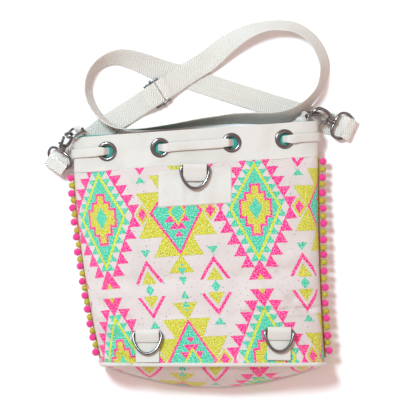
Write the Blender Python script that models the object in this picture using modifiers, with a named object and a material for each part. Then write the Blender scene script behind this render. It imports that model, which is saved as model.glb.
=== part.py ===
"""Drawstring bucket bag of patterned cloth, lying on its front with its webbing strap thrown beyond the mouth.

Lengths are in millimetres until they meet Blender. +X runs across the bag, +Y from base to mouth, +Z up from
the table. The back of the bag faces up.
"""

import math

import bmesh
import bpy
import numpy as np
from mathutils import Matrix, Vector

MM = 0.001

# Clearances
seatGap = 0.35
looseGap = 0.5

# Bag body: the outer face of the cloth
mouthWidth = 280.0
baseWidth = 256.0
waistBulge = 2.5
bodyLength = 266.5
mouthHeight = 34.0
baseHeight = 62.0
mouthSeamHeight = 15.0
baseSeamHeight = 24.0
mouthFloor = 5.5
cornerLift = 5.0
baseReach = 27.0
mouthShift = -20.0
bodyPlace = (6.0, -42.75)
mouthSkew = 0.07
mouthRoundness = 2.6
baseRoundness = 3.2
clothThickness = 1.2
liningInset = 3.4
liningThickness = 0.6
liningSlack = 4.5

# Top band and its eyelets
bandHeight = 41.0
bandThickness = 1.6
eyeletDrop = 18.5
eyeletSpacingInner = 82.0
eyeletMargin = 38.0
eyeletHoleRadius = 6.8
eyeletFlangeRadius = 11.4
eyeletWasherRadius = 9.6
eyeletCrown = 1.5
eyeletWall = 0.9

# Drawstring: a flat cord
cordWidth = 10.2
cordThickness = 2.2
cordEndLength = 34.0
wrapTurn = 30.0

# Base
pipingRadius = 2.2
baseBulge = 4.0

# Patch on the back
patchWidth = 84.0
patchHeight = 42.0
patchThickness = 0.9
patchDrop = 4.0

# Ring tabs and D rings on the back
ringInnerWidth = 30.0
ringDepth = 25.5
ringWire = 3.4
tabThickness = 1.0
tabWidth = 27.0
topTabLength = 17.0
topTabX = -21.0
lowTabLength = 27.0
lowRingSpacing = 150.0
lowRingRise = 35.0
ringRestTilt = 4.0
facetSag = 0.5

# Side tabs and their D rings
sideRingInnerWidth = 17.0
sideRingDepth = 18.0
sideRingWire = 3.0
sideTabWidth = 13.0

# Pompom trims
tapeThickness = 0.6
tapeInside = 2.6
tapeOutside = 2.0
pompomDiameter = 8.2
pompomPitch = 8.7
pompomSink = 0.45

# Webbing strap and its slider
webbingWidth = 25.0
webbingThickness = 1.8
sliderBar = 2.2
sliderSpacing = 8.4
sliderRail = 2.4

# Snap hooks
hookWire = 3.2
eyeDepth = 17.0
barrelLength = 6.4
barrelRadius = 3.4
postRadius = 1.5
clawLength = 47.0
clawRise = 7.2
clawWire = 3.6
gateThickness = 3.2
gateDepth = 2.4
pinRadius = 0.8

collection = bpy.data.collections.new("bucket_bag")
cutters = bpy.data.collections.new("cutters")


def clearScene():
    """Remove what the scene holds."""
    for item in list(bpy.data.objects):
        bpy.data.objects.remove(item)
    bpy.context.scene.collection.children.link(collection)
    bpy.context.scene.collection.children.link(cutters)


def mixed(start, end, share):
    """The value a share of the way from start to end."""
    return start + (end - start) * share


def unit(vector):
    """A vector at length 1."""
    vector = np.asarray(vector, float)
    return vector / np.linalg.norm(vector)


def squared(vector, axis):
    """A vector made square to an axis, at length 1."""
    vector = np.asarray(vector, float)
    return unit(vector - np.dot(vector, axis) * axis)


def placed(origin, xAxis, yAxis):
    """The matrix that puts local axes at an origin given in millimetres."""
    xAxis = unit(xAxis)
    yAxis = squared(yAxis, xAxis)
    matrix = Matrix.Identity(4)
    for column, axis in enumerate((xAxis, yAxis, np.cross(xAxis, yAxis))):
        for row in range(3):
            matrix[row][column] = axis[row]
    matrix.translation = Vector(origin) * MM
    return matrix


def material(name, colour, roughness, metallic=0.0):
    """A plain principled material."""
    made = bpy.data.materials.new(name)
    made.use_nodes = True
    shader = made.node_tree.nodes["Principled BSDF"]
    shader.inputs["Base Color"].default_value = (*colour, 1.0)
    shader.inputs["Roughness"].default_value = roughness
    shader.inputs["Metallic"].default_value = metallic
    return made


canvas = material("canvas", (0.80, 0.78, 0.74), 0.9)
patterned = material("patterned_cloth", (0.86, 0.55, 0.60), 0.85)
teal = material("teal_lining", (0.10, 0.55, 0.50), 0.85)
cotton = material("cotton_webbing", (0.72, 0.68, 0.60), 0.9)
pink = material("pink_pompom", (0.95, 0.10, 0.35), 0.95)
nickel = material("dark_nickel", (0.30, 0.29, 0.30), 0.25, 1.0)


def added(name, mesh, finish, matrix=None):
    """A named piece of the bag."""
    mesh.materials.clear()
    mesh.materials.append(finish)
    piece = bpy.data.objects.new(name, mesh)
    collection.objects.link(piece)
    piece.parent = bagRoot
    piece.matrix_local = matrix if matrix is not None else Matrix.Identity(4)
    return piece


def sheet(name, grid, thickness, finish, offset=-1.0, closed=False, matrix=None):
    """A cloth: an open grid of points in millimetres, given its thickness by Solidify."""
    rows, columns = grid.shape[:2]
    wrap = columns if closed else columns - 1
    points = grid.reshape(-1, 3) * MM
    faces = []
    for row in range(rows - 1):
        for column in range(wrap):
            after = (column + 1) % columns
            faces.append(
                (
                    row * columns + column,
                    (row + 1) * columns + column,
                    (row + 1) * columns + after,
                    row * columns + after,
                )
            )
    mesh = bpy.data.meshes.new(name)
    mesh.from_pydata([tuple(point) for point in points], [], faces)
    mesh.shade_smooth()
    mesh.set_sharp_from_angle(angle=math.radians(40))
    piece = added(name, mesh, finish, matrix)
    solid = piece.modifiers.new("thickness", "SOLIDIFY")
    solid.thickness = thickness * MM
    solid.offset = offset
    solid.use_even_offset = True
    return piece


def strip(name, points, sides, width, thickness, finish, matrix=None):
    """A strip of cloth or webbing: a centre line with the direction of its width at each point. The width is
    one number or one for each point."""
    points = np.asarray(points, float)
    tangents = np.gradient(points, axis=0)
    sides = np.array([squared(s, unit(t)) for s, t in zip(sides, tangents)])
    reach = sides * np.broadcast_to(width, len(points))[:, None] / 2
    grid = np.stack((points + reach, points - reach), 1)
    return sheet(name, grid, thickness, finish, offset=0.0, matrix=matrix)


def smoothed(points, steps):
    """Points along a Catmull-Rom curve through the given ones; steps for each span."""
    points = np.asarray(points, float)
    first = 2 * points[0] - points[1]
    last = 2 * points[-1] - points[-2]
    framed = np.vstack((first, points, last))
    out = []
    for span in range(len(points) - 1):
        a, b, c, d = framed[span : span + 4]
        for step in range(steps):
            t = step / steps
            out.append(
                0.5
                * (
                    2 * b
                    + (c - a) * t
                    + (2 * a - 5 * b + 4 * c - d) * t**2
                    + (3 * b - a - 3 * c + d) * t**3
                )
            )
    out.append(points[-1])
    return np.array(out)


def tubeCurve(name, points, radius, closed, resolution=2):
    """A round wire along points in millimetres, as a curve object."""
    curve = bpy.data.curves.new(name, "CURVE")
    curve.dimensions = "3D"
    curve.bevel_depth = radius * MM
    curve.bevel_resolution = resolution
    curve.use_fill_caps = not closed
    spline = curve.splines.new("POLY")
    spline.points.add(len(points) - 1)
    for target, point in zip(spline.points, points):
        target.co = (*(Vector(point) * MM), 1.0)
    spline.use_cyclic_u = closed
    return bpy.data.objects.new(name, curve)


def asMesh(source):
    """The mesh of a curve object, its caps welded. The curve is removed."""
    bpy.context.scene.collection.objects.link(source)
    graph = bpy.context.evaluated_depsgraph_get()
    mesh = bpy.data.meshes.new_from_object(source.evaluated_get(graph))
    bpy.data.objects.remove(source)
    work = bmesh.new()
    work.from_mesh(mesh)
    bmesh.ops.remove_doubles(work, verts=work.verts, dist=0.00001)
    bmesh.ops.recalc_face_normals(work, faces=work.faces)
    work.to_mesh(mesh)
    work.free()
    return mesh


def wire(name, points, radius, finish, closed=True, matrix=None, resolution=2):
    """A named round wire."""
    return added(name, asMesh(tubeCurve(name, points, radius, closed, resolution)), finish, matrix)


def turnedMesh(name, profile, steps):
    """The mesh of a profile of (radius, height) points turned about Z with Screw."""
    mesh = bpy.data.meshes.new(name)
    points = [(radius * MM, 0.0, height * MM) for radius, height in profile]
    onAxis = profile[0][0] == 0.0 and profile[-1][0] == 0.0
    count = len(points)
    edges = [(k, (k + 1) % count) for k in range(count - 1 if onAxis else count)]
    mesh.from_pydata(points, edges, [])
    piece = bpy.data.objects.new(name, mesh)
    bpy.context.scene.collection.objects.link(piece)
    screw = piece.modifiers.new("turn", "SCREW")
    screw.steps = steps
    screw.render_steps = steps
    screw.use_merge_vertices = True
    screw.merge_threshold = 0.00001
    graph = bpy.context.evaluated_depsgraph_get()
    made = bpy.data.meshes.new_from_object(piece.evaluated_get(graph))
    bpy.data.objects.remove(piece)
    made.shade_smooth()
    made.set_sharp_from_angle(angle=math.radians(35))
    return made


def boxMesh(name, low, high):
    """A block between two corners in millimetres."""
    work = bmesh.new()
    bmesh.ops.create_cube(work, size=1.0)
    low, high = Vector(low) * MM, Vector(high) * MM
    for vertex in work.verts:
        share = vertex.co + Vector((0.5, 0.5, 0.5))
        vertex.co = Vector([mixed(low[k], high[k], share[k]) for k in range(3)])
    mesh = bpy.data.meshes.new(name)
    work.to_mesh(mesh)
    work.free()
    return mesh


def rodMesh(name, start, end, radius, sides):
    """A cylinder between two points in millimetres."""
    start, end = Vector(start) * MM, Vector(end) * MM
    axis = end - start
    work = bmesh.new()
    turn = axis.to_track_quat("Z", "Y").to_matrix().to_4x4()
    turn.translation = (start + end) / 2
    bmesh.ops.create_cone(
        work,
        cap_ends=True,
        segments=sides,
        radius1=radius * MM,
        radius2=radius * MM,
        depth=axis.length,
        matrix=turn,
    )
    mesh = bpy.data.meshes.new(name)
    work.to_mesh(mesh)
    work.free()
    return mesh


def cutter(name, mesh, matrix=None):
    """A guide that only cuts or joins."""
    guide = bpy.data.objects.new(name, mesh)
    cutters.objects.link(guide)
    guide.parent = bagRoot
    guide.matrix_local = matrix if matrix is not None else Matrix.Identity(4)
    guide.hide_render = True
    guide.display_type = "WIRE"
    return guide


def combined(piece, guide, operation):
    """Join a guide to a piece, or cut it away."""
    change = piece.modifiers.new(guide.name, "BOOLEAN")
    change.object = guide
    change.operation = operation
    change.solver = "EXACT"
    return piece


# Shape of the bag. along runs from 0 at the mouth to 1 at the base seam.


def centreX(along):
    """The middle of the bag at a station; the base lies a little to the right of the mouth."""
    return mouthShift * (1 - along**2)


def halfWidth(along):
    """Half the width at a station: straight taper and a slight bulge below the band."""
    return mixed(mouthWidth, baseWidth, along) / 2 + waistBulge * np.sin(np.pi * along**0.6)


def crownHeight(along):
    """The top of the lying bag, low at the flattened mouth and high at the base."""
    return mixed(mouthHeight, baseHeight, along**1.7)


def floorHeight(along):
    """The underside: the mouth rides on the drawstring, the rest lies on the table."""
    return mouthFloor * np.clip(1 - along / 0.45, 0, 1) ** 1.5


def seamHeight(along):
    """The height of the side seams."""
    return mixed(mouthSeamHeight, baseSeamHeight, along)


def liftAt(across, along):
    """The mouth's left corner lies on the strap."""
    return cornerLift * (1 - across) / 2 * np.clip(1 - along / 0.6, 0, 1) ** 2


def roundness(along):
    """How square the section is."""
    return mixed(mouthRoundness, baseRoundness, along)


def bodyY(x, along):
    """Place along the bag; the mouth's edge is askew to the base."""
    return bodyLength * (0.5 - along) + mouthSkew * (1 - along**2) * (x - centreX(along))


# Creases in the back panel: start, end, depth and width of each
creases = (
    ((-136, -44), (130, -32), 3.0, 9.0),
    ((92, -64), (132, -96), 3.6, 8.0),
    ((-136, -60), (-88, -94), 3.8, 8.0),
    ((-127, -114), (-108, -104), 3.2, 7.0),
    ((78, -28), (136, -22), 2.4, 7.0),
)


def creaseDepth(x, y):
    """How far the cloth sinks into the creases: a valley with a soft ridge beside each."""
    total = np.zeros(np.broadcast(x, y).shape)
    for start, end, depth, width in creases:
        start, end = np.array(start, float), np.array(end, float)
        run = end - start
        length = np.hypot(*run)
        share = np.clip(((x - start[0]) * run[0] + (y - start[1]) * run[1]) / length**2, 0, 1)
        aside = ((x - start[0]) * run[1] - (y - start[1]) * run[0]) / length
        overX = x - (start[0] + share * run[0])
        overY = y - (start[1] + share * run[1])
        away = np.hypot(overX, overY)
        total += depth * np.exp(-((away / width) ** 2))
        total -= 0.5 * depth * np.exp(-(((away - 1.8 * width) / width) ** 2)) * (aside > 0)
    return total


def bodyPoints(angle, along, inset=0.0, parted=0.0, creased=0.0):
    """Points of a section: angle 180 degrees is the left seam, 90 the crown, 0 the right seam, below 0 the
    underside. inset moves the wall inwards and parted leaves half that gap at the seam."""
    angle, along = np.broadcast_arrays(np.asarray(angle, float), np.asarray(along, float))
    power = 2 / roundness(along)
    across = np.sign(np.cos(angle)) * np.abs(np.cos(angle)) ** power
    rise = np.abs(np.sin(angle)) ** power
    x = centreX(along) + (halfWidth(along) - inset) * across
    y = bodyY(x, along)
    seam = seamHeight(along)
    over = seam + parted + (crownHeight(along) - inset - seam - parted) * rise
    under = seam - parted - (seam - parted - floorHeight(along) - inset) * rise
    upper = np.sin(angle) >= 0
    y = np.where(upper, y, y - baseReach * (1 - across**2) * along**2)
    z = np.where(upper, over - creased * creaseDepth(x, y) * rise, under)
    return np.stack((x + bodyPlace[0], y + bodyPlace[1], z + liftAt(across, along)), -1)


def backAngle(x, along, inset=0.0):
    """The section's angle above a place x."""
    across = np.clip((x - centreX(along)) / (halfWidth(along) - inset), -1, 1)
    return np.arccos(np.sign(across) * np.abs(across) ** (roundness(along) / 2))


def surfaceFrame(x, along, under=False):
    """A point of the outer face and its outward normal, from close neighbours."""
    side = -1 if under else 1
    small = 0.004
    here = bodyPoints(side * backAngle(x, along), along)
    right = bodyPoints(side * backAngle(x + 2, along), along)
    left = bodyPoints(side * backAngle(x - 2, along), along)
    up = bodyPoints(side * backAngle(x, along - small), along - small)
    down = bodyPoints(side * backAngle(x, along + small), along + small)
    normal = unit(np.cross(right - left, up - down))
    return here, normal * side


def angles(start, end, count):
    """Evenly spaced section angles, in degrees."""
    return np.radians(np.linspace(start, end, count))


def panelGrid(start, end, first, last, rows, columns, inset=0.0, parted=0.0, creased=0.0):
    """A grid of body points from one section angle to another, between two stations."""
    along = np.linspace(first, last, rows)[:, None]
    return bodyPoints(angles(start, end, columns)[None, :], along, inset, parted, creased)


bandShare = bandHeight / bodyLength
stackDepth = liningInset + liningThickness
panelTop = bandShare + seatGap / bodyLength
seamParted = tapeThickness / 2 + seatGap + 0.4
edgeTurn = 0.01


def makePanels():
    """The patterned back and front, the band round the mouth and the lining inside."""
    back = panelGrid(180 - edgeTurn, edgeTurn, panelTop, 1.0, 15, 21, parted=seamParted, creased=1.0)
    sheet("back_panel", back, clothThickness, patterned)
    front = panelGrid(-edgeTurn, edgeTurn - 180, panelTop, 1.0, 6, 14, parted=seamParted)
    sheet("front_panel", front, clothThickness, patterned)
    band = panelGrid(180, -180, 0.0, bandShare, 2, 37)[:, :-1]
    bandPiece = sheet("top_band", band, bandThickness, canvas, closed=True)
    stations = np.array((0.001, bandShare, bandShare + 0.1, 0.5, 0.94))[:, None]
    slack = liningSlack * np.clip((stations - bandShare) / 0.1, 0, 1)
    lining = bodyPoints(angles(180, -180, 25)[None, :-1], stations, inset=liningInset + slack)
    liningPiece = sheet("lining", lining, liningThickness, teal, closed=True)
    return bandPiece, liningPiece


def eyeletPlaces():
    """x, whether it is on the underside, and a name, for the eight eyelets from left to right."""
    outer = mouthWidth / 2 - eyeletMargin
    spread = (-outer, -eyeletSpacingInner / 2, eyeletSpacingInner / 2, outer)
    along = eyeletDrop / bodyLength
    places = []
    for under, face in ((False, "back"), (True, "front")):
        for number, offset in enumerate(spread, 1):
            places.append((f"eyelet_{face}_{number}", centreX(along) + offset, along, under))
    return places


def makeEyelets(bandPiece, liningPiece):
    """Rolled grommets set through the band and the lining, and their holes."""
    tube = eyeletHoleRadius + eyeletWall
    inner = -stackDepth - seatGap
    profile = (
        (eyeletFlangeRadius - 0.6, seatGap + 0.9),
        (eyeletFlangeRadius, seatGap),
        (tube, seatGap),
        (tube, inner),
        (eyeletWasherRadius, inner),
        (eyeletHoleRadius, inner - 0.6),
        (eyeletHoleRadius, 0.8),
        (eyeletHoleRadius + 1.2, eyeletCrown + seatGap),
    )
    shape = turnedMesh("eyelet", profile, 10)
    for name, x, along, under in eyeletPlaces():
        point, normal = surfaceFrame(x, along, under)
        matrix = placed(point, squared((1, 0, 0), normal), np.cross(normal, squared((1, 0, 0), normal)))
        added(name, shape.copy(), nickel, matrix)
        reach = 8.0
        hole = rodMesh(name + "_hole", (0, 0, -reach), (0, 0, reach), (tube + looseGap) / 0.95, 10)
        guide = cutter(name + "_hole", hole, matrix)
        combined(bandPiece, guide, "DIFFERENCE")
        combined(liningPiece, guide, "DIFFERENCE")


def cordStation(x, along, under, height):
    """A point at a height over the outer face."""
    point, normal = surfaceFrame(x, along, under)
    return point + normal * height


def makeDrawstring():
    """One flat cord: ends at the front, through every eyelet, outside at both sides of the mouth."""
    along = eyeletDrop / bodyLength
    outside = eyeletCrown + seatGap + cordThickness / 2 + 0.3
    inside = -(stackDepth + seatGap + 0.6 + cordThickness / 2 + looseGap)
    half = {"inner": eyeletSpacingInner / 2, "outer": mouthWidth / 2 - eyeletMargin}
    middle = centreX(along)
    sideways = np.array((0.0, 1.0, 0.0))

    def through(x, under, outward):
        """Stations through one eyelet, from outside to inside, with the outside towards outward. The cord
        gathers a little in the hole."""
        clear = 1.4 * eyeletFlangeRadius
        edge = 1.4 * eyeletHoleRadius
        lip = 0.62 * eyeletHoleRadius
        core = 0.3 * eyeletHoleRadius
        settle = 0.36 * cordThickness
        passage = (
            (clear, outside - settle, 1.0),
            (edge, outside, 1.0),
            (lip, outside, 0.9),
            (core, 0.1 * stackDepth, 0.8),
            (-core, -1.15 * stackDepth, 0.8),
            (-lip, inside, 0.88),
            (-edge, inside, 1.0),
            (-clear, inside + settle, 1.0),
        )
        centre, normal = surfaceFrame(x, along, under)
        tangent = squared((outward, 0, 0), normal)
        level = squared(sideways, normal)
        stations = []
        for t, height, gather in passage:
            if abs(t) < eyeletFlangeRadius:
                place = centre + tangent * t + normal * height
            else:
                place = cordStation(x + outward * t, along, under, height)
            stations.append((place, cordWidth * gather, level))
        return stations

    def wrap(side):
        """Stations round the mouth's side, from the back to the front."""
        turns = angles(wrapTurn, -wrapTurn, 9) if side > 0 else angles(180 - wrapTurn, 180 + wrapTurn, 9)
        stations = []
        for turn in turns:
            place = bodyPoints(turn, along)
            outward = unit(np.cross(sideways, bodyPoints(turn + 0.01, along) - place))
            place = place + outward * (cordThickness / 2 + looseGap)
            stations.append((place, cordWidth, sideways))
        return stations

    def loose(x):
        """A free end on the front."""
        return [(cordStation(x, along, True, outside - 0.6), cordWidth, sideways)]

    route = loose(middle + half["inner"] - cordEndLength)
    route += through(middle + half["inner"], True, -1)
    route += through(middle + half["outer"], True, 1)[::-1]
    route += wrap(1)[::-1]
    route += through(middle + half["outer"], False, 1)
    route += through(middle + half["inner"], False, -1)[::-1]
    route += through(middle - half["inner"], False, 1)
    route += through(middle - half["outer"], False, -1)[::-1]
    route += wrap(-1)
    route += through(middle - half["outer"], True, -1)
    route += through(middle - half["inner"], True, 1)[::-1]
    route += loose(middle - half["inner"] + cordEndLength)
    points = [station[0] for station in route]
    widths = [station[1] for station in route]
    sides = [station[2] for station in route]
    strip("drawstring", points, sides, widths, cordThickness, canvas)


def pipingPlaces(count):
    """The piping's centre along the back seam and along the front seam, left to right."""
    turns = np.pi - angles(2, 178, count)
    sink = pipingRadius + seatGap + 0.5
    back = bodyPoints(turns, 1.0, parted=seamParted + 3.4, inset=clothThickness * 0.6, creased=1.0)
    front = bodyPoints(-turns, 1.0, parted=seamParted + 3.4, inset=0.2)
    back[:, 1] -= sink
    front[:, 1] -= sink
    front[:, 2] = np.maximum(front[:, 2], pipingRadius + 0.2)
    return back, front


def makeBase():
    """The piping round the base seam and the base panel inside it."""
    back, front = pipingPlaces(19)
    wire("base_piping", np.vstack((back, front[::-1])), pipingRadius, canvas, resolution=1)
    turns = np.pi - angles(5, 175, 17)
    inside = 2 * pipingRadius + seatGap
    top = bodyPoints(turns, 1.0, inset=inside, parted=seamParted + 3.4, creased=1.0)
    bottom = bodyPoints(-turns, 1.0, inset=inside, parted=seamParted + 3.4)
    shares = np.linspace(0, 1, 4)[:, None, None]
    grid = mixed(top, bottom, shares)
    grid[..., 1] -= pipingRadius + seatGap + 0.5 + baseBulge * np.sin(np.pi * shares[..., 0])
    sheet("base_panel", grid, clothThickness, patterned, offset=0.0)


def patchStation(xShare, yShare):
    """A point of the patch over the back panel: shares from 0 at the left and the top."""
    x = topTabX + (xShare - 0.5) * patchWidth
    along = bandShare + (patchDrop + yShare * patchHeight) / bodyLength
    return bodyPoints(backAngle(x, along), along) + np.array((0, 0, seatGap + patchThickness))


def makePatch():
    """The blank patch sewn over the pattern."""
    shares = np.meshgrid(np.linspace(0, 1, 6), np.linspace(0, 1, 4))
    sheet("back_patch", patchStation(shares[0], shares[1]), patchThickness, canvas)


def ringOutline(innerWidth, depth, wireSize, steps, square=1.0):
    """Centre line of a D ring: the bar along X at the origin, the bow towards -Y. A smaller square gives the
    bow squarer shoulders."""
    half = innerWidth / 2 + wireSize / 2
    corner = wireSize * 0.35
    points = [(-half + corner, 0, 0), (half - corner, 0, 0)]
    for step in range(steps + 1):
        turn = math.radians(-8 - 164 * step / steps)
        across = math.copysign(abs(math.cos(turn)) ** square, math.cos(turn))
        points.append((half * across, -depth * abs(math.sin(turn)) ** square, 0))
    return points


def ringTab(name, length, width, wireSize, settle, matrix):
    """A strip folded over a ring's bar, its two legs sewn down towards -Y."""
    reach = wireSize / 2 + looseGap + tabThickness / 2
    low = -reach
    high = low + tabThickness + seatGap
    path = [(-length, low), (-8, low), (-3, low)]
    path += [(reach * math.cos(t), reach * math.sin(t)) for t in angles(-90, 90, 5)]
    path += [(-3, reach - 0.2), (-8, mixed(high, reach, 0.35)), (-12, high), (-length, high)]
    points = [(0.0, y, z - settle) for y, z in path]
    strip(name, points, [(1, 0, 0)] * len(points), width, tabThickness, canvas, matrix)


def highest(x, along, length, point, normal):
    """How far the cloth under a tab stands above the plane that touches it at the bar."""
    places = np.meshgrid(np.linspace(-tabWidth / 2, tabWidth / 2, 7), np.linspace(-4, length, 9))
    x, along = x + places[0], along + places[1] / bodyLength
    return float(((bodyPoints(backAngle(x, along), along, creased=1.0) - point) @ normal).max())


def makeBackRings():
    """Three tabs with their D rings: one at the band seam, two above the base seam."""
    lift = ringWire / 2 + looseGap + tabThickness + seatGap
    low = 1 - lowRingRise / bodyLength
    settings = (
        ("top", topTabX, bandShare + 0.006, topTabLength, patchThickness + seatGap),
        ("lower_left", centreX(1.0) - lowRingSpacing / 2, low, lowTabLength, -facetSag),
        ("lower_right", centreX(1.0) + lowRingSpacing / 2, low, lowTabLength, 0.0),
    )
    outline = ringOutline(ringInnerWidth, ringDepth, ringWire, 8)
    for name, x, along, length, under in settings:
        point, normal = surfaceFrame(x, along)
        over = highest(x, along, length, point, normal)
        origin = point + normal * (lift + under + over)
        matrix = placed(origin, squared((1, 0, 0), normal), np.cross(normal, squared((1, 0, 0), normal)))
        ringTab(name + "_ring_tab", length, tabWidth, ringWire, 0.0, matrix)
        tilted = matrix @ Matrix.Rotation(-math.radians(ringRestTilt), 4, "X")
        wire(name + "_ring", outline, ringWire / 2, nickel, matrix=tilted)


def makeTrims():
    """Tapes in the side seams with pompoms along their outer edge, fused to them."""
    radius = pompomDiameter / 2
    for name, side in (("pompom_trim_left", -1), ("pompom_trim_right", 1)):
        along = np.linspace(panelTop + 0.004, 0.985, 9)
        angle = np.pi if side < 0 else 0.0
        edge = bodyPoints(angle, along)
        inner = edge - (side * tapeInside, 0, 0)
        outer = edge + (side * tapeOutside, 0, 0)
        pair = (inner, outer) if side > 0 else (outer, inner)
        tape = sheet(name, np.stack(pair, 1), tapeThickness, pink, offset=0.0)
        length = bodyLength * (along[-1] - along[0])
        count = int(length / pompomPitch)
        work = bmesh.new()
        for number in range(count):
            station = along[0] + (number + 0.5) * pompomPitch / bodyLength
            spot = bodyPoints(angle, station)
            spot = spot + (side * (tapeOutside + radius - pompomSink), 0, 0)
            ball = Matrix.Translation(Vector(spot) * MM) @ Matrix.Rotation(math.radians(90), 4, "Y")
            bmesh.ops.create_icosphere(work, subdivisions=1, radius=radius * MM, matrix=ball)
        mesh = bpy.data.meshes.new(name + "_pompoms")
        work.to_mesh(mesh)
        work.free()
        combined(tape, cutter(name + "_pompoms", mesh), "UNION")


# Side rings and snap hooks. For each side, from the corner of the mouth: where the tab leaves the lining and its
# width direction there, the middle of the ring's bar, the tab's direction at the bar and the ring's direction
# from the bar to the caught wire. Then the hook's direction from the caught wire to the strap eye, how much of
# the claw's length lies beyond the wire, and the direction of the strap's fold.
sideSets = {
    "left": {
        "root": (15.5, -6.7, 1.5),
        "across": (0.98, 0.0, 0.2),
        "bar": (6.0, 10.3, 5.0),
        "leg": (-0.40, 0.80, 0.45),
        "ring": (-0.70, -0.55, 0.45),
        "hook": (-0.3073, -0.7398, -0.5986),
        "beyond": 8.37,
        "fold": (-0.616, 0.788, 0.0),
        "turn": 1,
    },
    "right": {
        "root": (-23.0, -9.3, -0.2),
        "across": (0.99, 0.0, 0.1),
        "bar": (-14.0, 7.2, 5.0),
        "leg": (0.25, 0.95, 0.18),
        "ring": (0.93, 0.05, -0.20),
        "hook": (0.8374, -0.4615, -0.293),
        "beyond": 10.07,
        "fold": (0.305, 0.952, 0.0),
        "turn": -1,
    },
}


def mouthCorner(side):
    """The corner of the mouth, where the side seam ends."""
    return bodyPoints(np.pi if side == "left" else 0.0, 0.0)


def sidePlaces(side):
    """A side's tab root, the middle of its ring's bar, the caught wire and the middle of the strap eye's bar."""
    root, bar, ring, hook = (np.array(sideSets[side][k]) for k in ("root", "bar", "ring", "hook"))
    corner = mouthCorner(side)
    catch = corner + bar + unit(ring) * sideRingDepth
    return corner + root, corner + bar, catch, catch + unit(hook) * (clawLength - sideSets[side]["beyond"])


def sideFrames(side):
    """Matrices of a side's ring, claw and strap eye, and the directions of the two bars."""
    leg, fold = (np.array(sideSets[side][k]) for k in ("leg", "fold"))
    root, bar, catch, eye = sidePlaces(side)
    toRing = unit(catch - bar)
    wireAxis = unit(np.cross(toRing, leg))
    axis = unit(catch - eye)
    rise = unit(np.cross(sideSets[side]["turn"] * wireAxis, axis))
    axis = unit(catch - rise * sideRingWire / 2 - eye)
    foldAxis = squared(fold, axis)
    ring = placed(bar, wireAxis, -toRing)
    claw = placed(eye, axis, squared(rise, axis))
    return ring, claw, placed(eye, axis, foldAxis), foldAxis, wireAxis


def clawMesh(name):
    """The hook's body: a barrel with its bore, the bent nose and the lug of the gate's pivot."""
    start = eyeDepth + 2.9
    end = start + barrelLength
    outer = turnedMesh(name, ((barrelRadius, end), (barrelRadius, start), (postRadius + 0.3, start), (postRadius + 0.3, end)), 14)
    outer.transform(Matrix.Rotation(math.radians(90), 4, "Y"))
    piece = added(name, outer, nickel)
    nose = [
        (end - 1.6, barrelRadius + 0.9, 0),
        (end + 1.4, clawRise - 1.4, 0),
        (end + 5.5, clawRise, 0),
        (clawLength - 7.5, clawRise - 0.2, 0),
        (clawLength - 3.6, clawRise - 2.6, 0),
        (clawLength - 1.8, 0.4, 0),
        (clawLength - 3.0, -4.4, 0),
    ]
    bent = smoothed(nose, 2)
    combined(piece, cutter(name + "_nose", asMesh(tubeCurve(name, bent, clawWire / 2, False, 1))), "UNION")
    lug = rodMesh(name, (gatePivot[0], gatePivot[1], -1.0), (gatePivot[0], gatePivot[1], 1.0), 2.4, 12)
    combined(piece, cutter(name + "_lug", lug), "UNION")
    hole = rodMesh(name, (*gatePivot, -3), (*gatePivot, 3), pinRadius + 0.35, 10)
    combined(piece, cutter(name + "_pin_hole", hole), "DIFFERENCE")
    return piece


gatePivot = (eyeDepth + 2.9 + barrelLength + 0.2, -barrelRadius - 1.5)


def gateMesh(name):
    """The gate: a lever forked over the lug, its pin and its thumb knob."""
    x, y = gatePivot
    tip = clawLength - 6.2
    half = gateDepth / 2
    lever = boxMesh(name, (x - 1.3, y - half, -gateThickness / 2), (tip, y + half, gateThickness / 2))
    piece = added(name, lever, nickel)
    slot = boxMesh(name, (x - 4, y - 4, -1.0 - seatGap), (x + 2.4 + looseGap, y + 4, 1.0 + seatGap))
    combined(piece, cutter(name + "_slot", slot), "DIFFERENCE")
    pin = rodMesh(name, (x, y, -gateThickness / 2 + 0.2), (x, y, gateThickness / 2 - 0.2), pinRadius, 8)
    combined(piece, cutter(name + "_pin", pin), "UNION")
    knob = rodMesh(name, (x + 5.5, y, 0), (x + 5.5, y - 4.2, 0), 1.3, 8)
    combined(piece, cutter(name + "_knob", knob), "UNION")
    return piece


def eyeMesh(name):
    """The strap eye: a D of wire, its collar, and the post riveted inside the claw's barrel."""
    start = eyeDepth + 2.6
    end = eyeDepth + 2.9 + barrelLength + 0.3
    profile = (
        (0.0, end + 1.0),
        (2.1, end + 0.8),
        (2.1, end),
        (postRadius, end),
        (postRadius, start),
        (3.1, start),
        (3.1, eyeDepth - 1.2),
        (0.0, eyeDepth - 1.2),
    )
    post = turnedMesh(name, profile, 12)
    post.transform(Matrix.Rotation(math.radians(90), 4, "Y"))
    piece = added(name, post, nickel)
    outline = ringOutline(webbingWidth + 3.4, eyeDepth, hookWire, 8, square=0.55)
    turned = [(-y, x, 0) for x, y, z in outline]
    bow = asMesh(tubeCurve(name, turned, hookWire / 2, True, 1))
    combined(piece, cutter(name + "_bow", bow), "UNION")
    return piece


def moved(piece, matrix):
    """Set a piece and the guides that shape it in their common frame."""
    piece.matrix_local = matrix
    for change in piece.modifiers:
        if change.type == "BOOLEAN":
            change.object.matrix_local = matrix


def makeSides():
    """Side tabs, their D rings, and the snap hooks that hold them."""
    outline = ringOutline(sideRingInnerWidth, sideRingDepth, sideRingWire, 8)
    for side in sideSets:
        ring, claw, eye, foldAxis, wireAxis = sideFrames(side)
        wire(f"{side}_side_ring", outline, sideRingWire / 2, nickel, matrix=ring, resolution=1)
        moved(clawMesh(f"{side}_hook_claw"), claw)
        moved(gateMesh(f"{side}_hook_gate"), claw)
        moved(eyeMesh(f"{side}_hook_eye"), eye)
        makeSideTab(side, wireAxis)


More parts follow.
